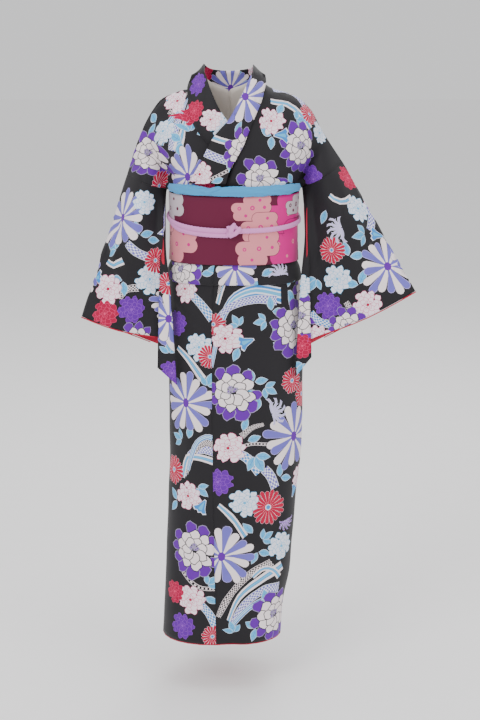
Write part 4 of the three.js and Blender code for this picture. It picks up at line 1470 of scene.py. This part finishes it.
def shaded(nodes, links, where, source, amount):
    """The colour with soft uneven patches of lighter and darker tone."""
    tone = nodes.new("ShaderNodeMapRange")
    tone.inputs["To Min"].default_value = 1 - amount
    tone.inputs["To Max"].default_value = 1 + amount
    links.new(noise(nodes, links, where, PATCHES, 3), tone.inputs["Value"])
    scale = nodes.new("ShaderNodeVectorMath")
    scale.operation = "SCALE"
    links.new(source, scale.inputs[0])
    links.new(tone.outputs["Result"], scale.inputs["Scale"])
    return scale.outputs["Vector"]


def from_print(amount):
    def build(nodes, links, where):
        dye = nodes.new("ShaderNodeVertexColor")
        dye.layer_name = "print"
        return shaded(nodes, links, where, dye.outputs["Color"], amount)

    return build


def plain(colour, amount):
    def build(nodes, links, where):
        return shaded(nodes, links, where, swatch(nodes, colour), amount)

    return build


LINING_CHANGE = -0.7


def two_linings(nodes, links, where):
    """Pale lining in the upper body and red lining in the skirt."""
    split = nodes.new("ShaderNodeSeparateXYZ")
    links.new(where, split.inputs[0])
    low = nodes.new("ShaderNodeMath")
    low.operation = "LESS_THAN"
    low.inputs[1].default_value = LINING_CHANGE
    links.new(split.outputs["Z"], low.inputs[0])
    mixed = nodes.new("ShaderNodeMix")
    mixed.data_type = "RGBA"
    links.new(low.outputs[0], mixed.inputs["Factor"])
    links.new(swatch(nodes, PALE_LINING), mixed.inputs["A"])
    links.new(swatch(nodes, LINING_RED), mixed.inputs["B"])
    return shaded(nodes, links, where, mixed.outputs["Result"], 0.05)


MATERIALS = {
    "body_lining": material("body_lining", two_linings, 0.6, 0.05),
    "printed_silk": material("printed_silk", from_print(0.07), 0.66, 0.06),
    "belt_brocade": material("belt_brocade", from_print(0.07), 0.62, 0.1, (700.0, 0.12)),
    "lining_silk": material("lining_silk", plain(LINING_RED, 0.08), 0.5, 0.08),
    "sash_crepe": material("sash_crepe", plain(SASH_BLUE, 0.12), 0.75, 0.35, (420.0, 0.35)),
    "braided_cord": material("braided_cord", plain(CORD_PINK, 0.08), 0.6, 0.3, (1500.0, 0.2)),
}


def finish_piece(obj, slot, nodes, thick=THICK, lined="body_lining"):
    """Gives a piece its thickness, materials and place in the frame."""
    obj.data.materials.append(MATERIALS[slot])
    if thick:
        if lined:
            obj.data.materials.append(MATERIALS[lined])
        shell = obj.modifiers.new("thickness", "SOLIDIFY")
        shell.thickness = thick * MM
        shell.offset = 0.0
        shell.material_offset = 1 if lined else 0
    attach(obj, "root")
    if nodes:
        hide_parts(*nodes)


FRONT = np.array([0, -1.0, 0])
BACK_WAY = np.array([0, 1.0, 0])


def cloth(name, panel, shapes, lined="body_lining", thick=THICK, step=8.0, weld=False):
    """A printed piece of the kimono in place of its node."""
    obj = printed(name + "_cloth", panel, shapes, "ground", step, weld)
    finish_piece(obj, "printed_silk", [name], thick, lined)


def brocade(name, panel, thick, step=7.0, weld=False):
    """A piece of the belt in place of its node."""
    obj = printed(name + "_cloth", panel, belt_design(panel), "wine", step, weld)
    finish_piece(obj, "belt_brocade", [name], thick, None)


def armhole_still(grid):
    """Shares of a body panel's creases: none beside the armhole, whose edge meets the sleeve."""
    column = np.linspace(0, 1, grid.shape[1])[None, :]
    above = smooth((grid[..., 2] - (FOOT - 20)) / 20)
    return 1 - above * smooth((column - 0.82) / 0.14)


def body_cloth(name, side, *groups):
    """One side of the body. A group is (flowers, ribbons, side), as for design."""
    grid = body_panel(side)
    panel = Panel(grid, (-20, 26), FRONT, creases, armhole_still(grid))
    cloth(name, panel, design(panel, *groups))


def overlap_cloth(name, side, flat, *groups):
    panel = Panel(overlap_panel(side), (-20, 14), FRONT, creases)
    cloth(name, panel, design(panel, *groups))


def sleeve_cloth(name, *groups):
    """A sleeve, whose grid starts at the fold, where the seam of the print doesn't show."""
    grid = np.roll(sleeve_panel(name), -SLEEVE_START, axis=1)
    grid = np.concatenate([grid, grid[:, :1]], 1)
    front_column = (SLEEVE_FRONT - SLEEVE_START) % (grid.shape[1] - 1)
    share = np.linspace(0, 1, len(grid))[:, None]
    still = smooth(share / 0.14) * smooth((1 - share) / 0.04)
    panel = Panel(grid, (30, front_column), FRONT, creases, still)
    shapes = design(panel, *groups)
    cloth("sleeve_" + name, panel, shapes, lined="lining_silk", weld=True)


body_cloth(
    "body_left",
    1,
    (SKIRT_LEFT, SKIRT_LEFT_RIBBONS, 1),
    (CHEST_LEFT, CHEST_LEFT_RIBBONS, 1),
    (BACK, BACK_RIBBONS, -1),
)
right_strip = [row for row in OVERLAP_LEFT if row[1] < RIGHT_STRIP_END]
body_cloth(
    "body_right",
    -1,
    (CHEST_RIGHT + right_strip, CHEST_RIGHT_RIBBONS, 1),
    (shifted(BACK) + BACK_RIGHT_TOP, shifted_ribbons(BACK_RIBBONS), -1),
)
overlap_cloth("overlap_left", 1, (0.16, 1.03), (OVERLAP_LEFT, OVERLAP_LEFT_RIBBONS, 1))
overlap_cloth("overlap_right", -1, (0.12, 0.96))
sleeve_cloth("left", (SLEEVE_LEFT, SLEEVE_LEFT_RIBBONS, 1), (SLEEVE_BACK, [], -1))
sleeve_cloth("right", (SLEEVE_RIGHT, SLEEVE_RIGHT_RIBBONS, 1), (mirrored(SLEEVE_BACK), [], -1))
collar = Panel(collar_panel(), (10, 6), FRONT)
shapes = design(collar, (COLLAR_PRINT, COLLAR_RIBBONS, 1), (COLLAR_BACK, [], -1))
cloth("collar", collar, shapes, lined=None, thick=2.0, step=5.0)

# Belt round the body, its drum knot and its hanging end.
BELT_TOP = -227.0
BELT_BOTTOM = -383.0
BELT_CREASES = [
    (-262, 0.7, -30, 95), (-296, 0.6, -110, 20), (-338, 0.8, 10, 130), (-356, 0.6, -130, -10),
    (-250, 0.5, 60, 170),
]


def belt_panel():
    """The belt's band round the body, with a few shallow creases."""
    turns = np.linspace(-180, 180, 241)
    signed = (turns + 180) % 360 - 180
    rows = []
    for z in np.linspace(BELT_TOP, BELT_BOTTOM, 40):
        edge = 0.5 * np.cos((z - BELT_TOP) / (BELT_BOTTOM - BELT_TOP) * math.tau)
        out = layer_out(signed) + 3.2 + edge
        for height, deep, start, end in BELT_CREASES:
            near = np.exp(-(((z - height - 4 * np.sin(np.radians(signed * 2))) / 3.2) ** 2))
            out = out - deep * near * smooth((signed - start) / 25) * smooth((end - signed) / 25)
        rows.append(ring(signed, np.full_like(signed, z), out))
    grid = np.array(rows)
    grid[:, -1] = grid[:, 0]
    return grid


belt = Panel(belt_panel(), (20, 120), FRONT)
brocade("belt", belt, 2.4, step=6.0, weld=True)

DRUM = [
    (98, -330), (98, -270), (99, -222), (106, -200), (122, -190), (146, -196), (162, -225),
    (169, -290), (170, -370), (163, -428), (148, -447), (130, -444), (119, -425), (116, -370),
]
TAIL = [(113.4, -372), (113.4, -420), (115, -465), (119, -505), (123, -545)]
KNOT_HALF = 150.0


def knot_panel(profile, wave):
    """A part of the knot: its profile (depth, height) carried across its width."""
    side = spline(profile, 90)
    t = np.linspace(-1, 1, 61)
    length = np.linspace(0, 1, len(side))[:, None]
    bow = 5 * t**2 * smooth((side[:, :1] - 120) / 30)
    ripple = np.sin(t * 5 + length * 6) * 0.6 + np.sin(t * 11 - length * 9 + 1) * 0.3
    out = wave * ripple * np.sin(math.pi * length)
    x = np.broadcast_to(KNOT_HALF * t, bow.shape)
    y = side[:, :1] - bow + out * smooth((side[:, :1] - 112) / 10)
    z = np.broadcast_to(side[:, 1:], bow.shape)
    return np.stack([x, y, z], -1)


drum = Panel(knot_panel(DRUM, 1.6), (50, 30), BACK_WAY)
brocade("belt_drum", drum, 2.4)
tail = Panel(knot_panel(TAIL, 1.0), (50, 30), BACK_WAY)
brocade("belt_tail", tail, 1.6)


def rope(name, route, half_out, half_up, bump, sides=20, closed=False):
    """A tube along a route, with half sizes outwards and upwards, and bump(length, angle) in shares."""
    centres, outs, ups = route
    count = len(centres)
    half_out, half_up = np.broadcast_to(half_out, count), np.broadcast_to(half_up, count)
    angles = np.linspace(0, math.tau, sides, endpoint=False)
    step = np.linalg.norm(np.diff(centres, axis=0), axis=1)
    along = np.concatenate([[0], np.cumsum(step)])
    verts = []
    for i in range(count):
        grow = 1 + bump(along[i], angles)
        o = half_out[i] * np.cos(angles) * grow
        u = half_up[i] * np.sin(angles) * grow
        verts.append(centres[i] + outs[i] * o[:, None] + ups[i] * u[:, None])
    verts = np.concatenate(verts) * MM
    faces = []
    spans = count if closed else count - 1
    for i in range(spans):
        for j in range(sides):
            a, b = i * sides + j, i * sides + (j + 1) % sides
            c, d = ((i + 1) % count) * sides + (j + 1) % sides, ((i + 1) % count) * sides + j
            faces.append((a, d, c, b))
    if not closed:
        faces.append(tuple(range(sides)))
        faces.append(tuple(range((count - 1) * sides, count * sides))[::-1])
    mesh = bpy.data.meshes.new(name)
    mesh.from_pydata(verts.tolist(), [], faces)
    shape = bmesh.new()
    shape.from_mesh(mesh)
    bmesh.ops.recalc_face_normals(shape, faces=shape.faces)
    shape.to_mesh(mesh)
    shape.free()
    mesh.shade_smooth()
    return linked(mesh)


def round_body(turns, z, out):
    """Centres, outward and upward directions of a rope that goes round the body."""
    centres = ring(turns, z, out)
    outs = unit(ring(turns, z, out + 1.0) - centres)
    ups = np.tile([0, 0, 1.0], (len(turns), 1))
    return centres, outs, ups


# The sash narrows where its ends cross, and a small fold lies over the crossing.
SASH_END = 72.0
SASH_OUT = 10.9
SASH_HEIGHT = -215.0
sash_turns = np.linspace(-SASH_END, SASH_END, 220)
cross = np.exp(-(((sash_turns + 15) / 7) ** 2))
sash_z = SASH_HEIGHT - 1.5 * np.cos(np.radians(sash_turns * 2.4)) - 2.0 * cross


def wrinkles(s, a):
    """Long soft folds round the sash, with finer ones between them."""
    broad = 0.13 * np.sin(5 * a + s * 0.05 + 2.2 * math.sin(s * 0.021))
    return broad + 0.07 * np.sin(9 * a - s * 0.09) + 0.03 * np.sin(a * 3 + s * 0.7)


sash = rope(
    "sash_band",
    round_body(sash_turns, sash_z, np.full_like(sash_turns, SASH_OUT)),
    3.8 + 0.8 * cross,
    10.6 - 3.2 * cross - 3.0 * smooth((np.abs(sash_turns) - 50) / 22),
    wrinkles,
    sides=44,
)
finish_piece(sash, "sash_crepe", ["sash"], 0)
fold_turns = np.linspace(-23, -8, 40)
lean = np.linspace(-1, 1, 40)
taper = np.sqrt(1.02 - lean**2)
sash_fold = rope(
    "sash_fold",
    round_body(fold_turns, SASH_HEIGHT + 7.5 * lean, 14.6 - 2.6 * lean**2),
    2.4 * taper + 0.3,
    6.4 * taper + 0.3,
    lambda s, a: 0.14 * np.sin(5 * a + s * 0.12) + 0.06 * np.sin(9 * a),
    sides=32,
)
finish_piece(sash_fold, "sash_crepe", [], 0)


CORD_FRONT = -305.0
CORD_OUT = 7.9


def braid(s, a):
    """Two rows of slanting strands."""
    slant = np.abs((a / math.pi) % 1.0 - 0.5) * 2
    return 0.24 * np.abs(np.sin(math.pi * (s / 8.0 + slant * 1.2))) - 0.13


def cord_height(turn):
    """The cord's height: it rises towards the back."""
    side = (1 - np.cos(np.radians(turn))) / 2
    return CORD_FRONT + np.where(turn < 0, 50, 34) * np.minimum(side, 0.6)


cord_turns = np.linspace(-180, 180, 521)[:-1]
route = round_body(cord_turns, cord_height(cord_turns), layer_out(cord_turns) + CORD_OUT)
cord = rope("cord_braid", route, 2.8, 5.6, braid, closed=True)
finish_piece(cord, "braided_cord", ["cord"], 0)
second_turns = np.linspace(-80, -3, 150)
apart = 10.5 * smooth((second_turns + 80) / 30)
second_out = layer_out(second_turns) + CORD_OUT - 0.4
route = round_body(second_turns, cord_height(second_turns) - apart, second_out)
second = rope("cord_second", route, 2.6, 5.0, braid)
finish_piece(second, "braided_cord", [], 0)


def knot_loop(name, path, half_out, half_up):
    """A short length of the cord in the knot, along points (x, out, z)."""
    p = spline(path, 60)
    centre = ring(np.zeros(1), np.full(1, CORD_FRONT), np.full(1, OVER + CORD_OUT))[0]
    centres = np.stack([centre[0] + p[:, 0], centre[1] - p[:, 1], centre[2] + p[:, 2]], 1)
    way = unit(np.gradient(centres, axis=0))
    outs = np.tile([0, -1.0, 0], (len(p), 1))
    outs = unit(outs - way * (outs * way).sum(1, keepdims=True))
    ups = np.cross(way, outs)
    return rope(name, (centres, outs, ups), half_out, half_up, braid)


KNOT_LOOPS = [
    ("cord_knot_wrap", [(-4, 1, -13), (-7, 7, -6), (-6, 10, 3), (-1, 7, 12), (3, 1, 14)], 3.0, 5.4),
    ("cord_knot_over", [(-15, 1, -7), (-8, 6, -8), (4, 9, -4), (12, 6, 4), (15, 1, 6)], 3.0, 5.2),
    ("cord_knot_under", [(-15, 2, 6), (-6, 4, 8), (6, 4, 7), (14, 2, 0)], 2.8, 5.0),
]
for i, (name, path, half_out, half_up) in enumerate(KNOT_LOOPS):
    loop = knot_loop(name, path, half_out, half_up)
    finish_piece(loop, "braided_cord", ["cord_knot"] if i == 0 else [], 0)

# The lining strips under the cuffs and hems keep their own shape.
for node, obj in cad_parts.items():
    if "lining" in node:
        obj.data.materials.clear()
        obj.data.materials.append(MATERIALS["lining_silk"])

# Floor, light and camera.
FLOOR = -1.42


def stage_material():
    m = bpy.data.materials.new("floor")
    m.use_nodes = True
    nodes, links = m.node_tree.nodes, m.node_tree.links
    shader = nodes["Principled BSDF"]
    shader.inputs["Roughness"].default_value = 0.9
    where = nodes.new("ShaderNodeTexCoord").outputs["Object"]
    tone = shaded(nodes, links, where, swatch(nodes, FLOOR_WHITE), 0.015)
    links.new(tone, shader.inputs["Base Color"])
    return m


def floor():
    """A wide flat floor."""
    half = 30.0
    verts = [(-half, -half, FLOOR), (half, -half, FLOOR), (half, half, FLOOR), (-half, half, FLOOR)]
    mesh = bpy.data.meshes.new("floor")
    mesh.from_pydata(verts, [], [(0, 1, 2, 3)])
    mesh.materials.append(stage_material())
    return linked(mesh)


floor()


def area_light(name, at, target, size, power):
    data = bpy.data.lights.new(name, "AREA")
    data.size = size
    data.energy = power
    obj = linked(data)
    obj.location = at
    obj.rotation_euler = (Vector(target) - Vector(at)).to_track_quat("-Z", "Y").to_euler()


area_light("key", (-2.2, -3.2, 2.2), (0, 0, -0.6), 2.2, 95)
area_light("fill", (2.8, -2.8, 1.0), (0, 0, -0.6), 2.6, 50)
area_light("top", (0, -0.2, 3.0), (0, 0, -0.6), 2.6, 40)
area_light("back", (0.8, 3.0, 2.4), (0, 0, -0.5), 2.2, 60)

world = bpy.data.worlds.new("studio")
world.use_nodes = True
world.node_tree.nodes["Background"].inputs["Color"].default_value = (0.93, 0.93, 0.94, 1)
world.node_tree.nodes["Background"].inputs["Strength"].default_value = 0.95
bpy.context.scene.world = world

CAMERA_AT = (0.014, -3.6, 0.15)
CAMERA_DOWN = 12.2
FOCAL_PIXELS = 1552.0
FRAME_PIXELS = 720
SENSOR = 36.0
data = bpy.data.cameras.new("camera")
data.sensor_fit = "VERTICAL"
data.sensor_height = SENSOR
data.lens = FOCAL_PIXELS / FRAME_PIXELS * SENSOR
camera = linked(data)
camera.location = CAMERA_AT
camera.rotation_euler = (math.radians(90 - CAMERA_DOWN), 0, 0)
bpy.context.scene.camera = camera
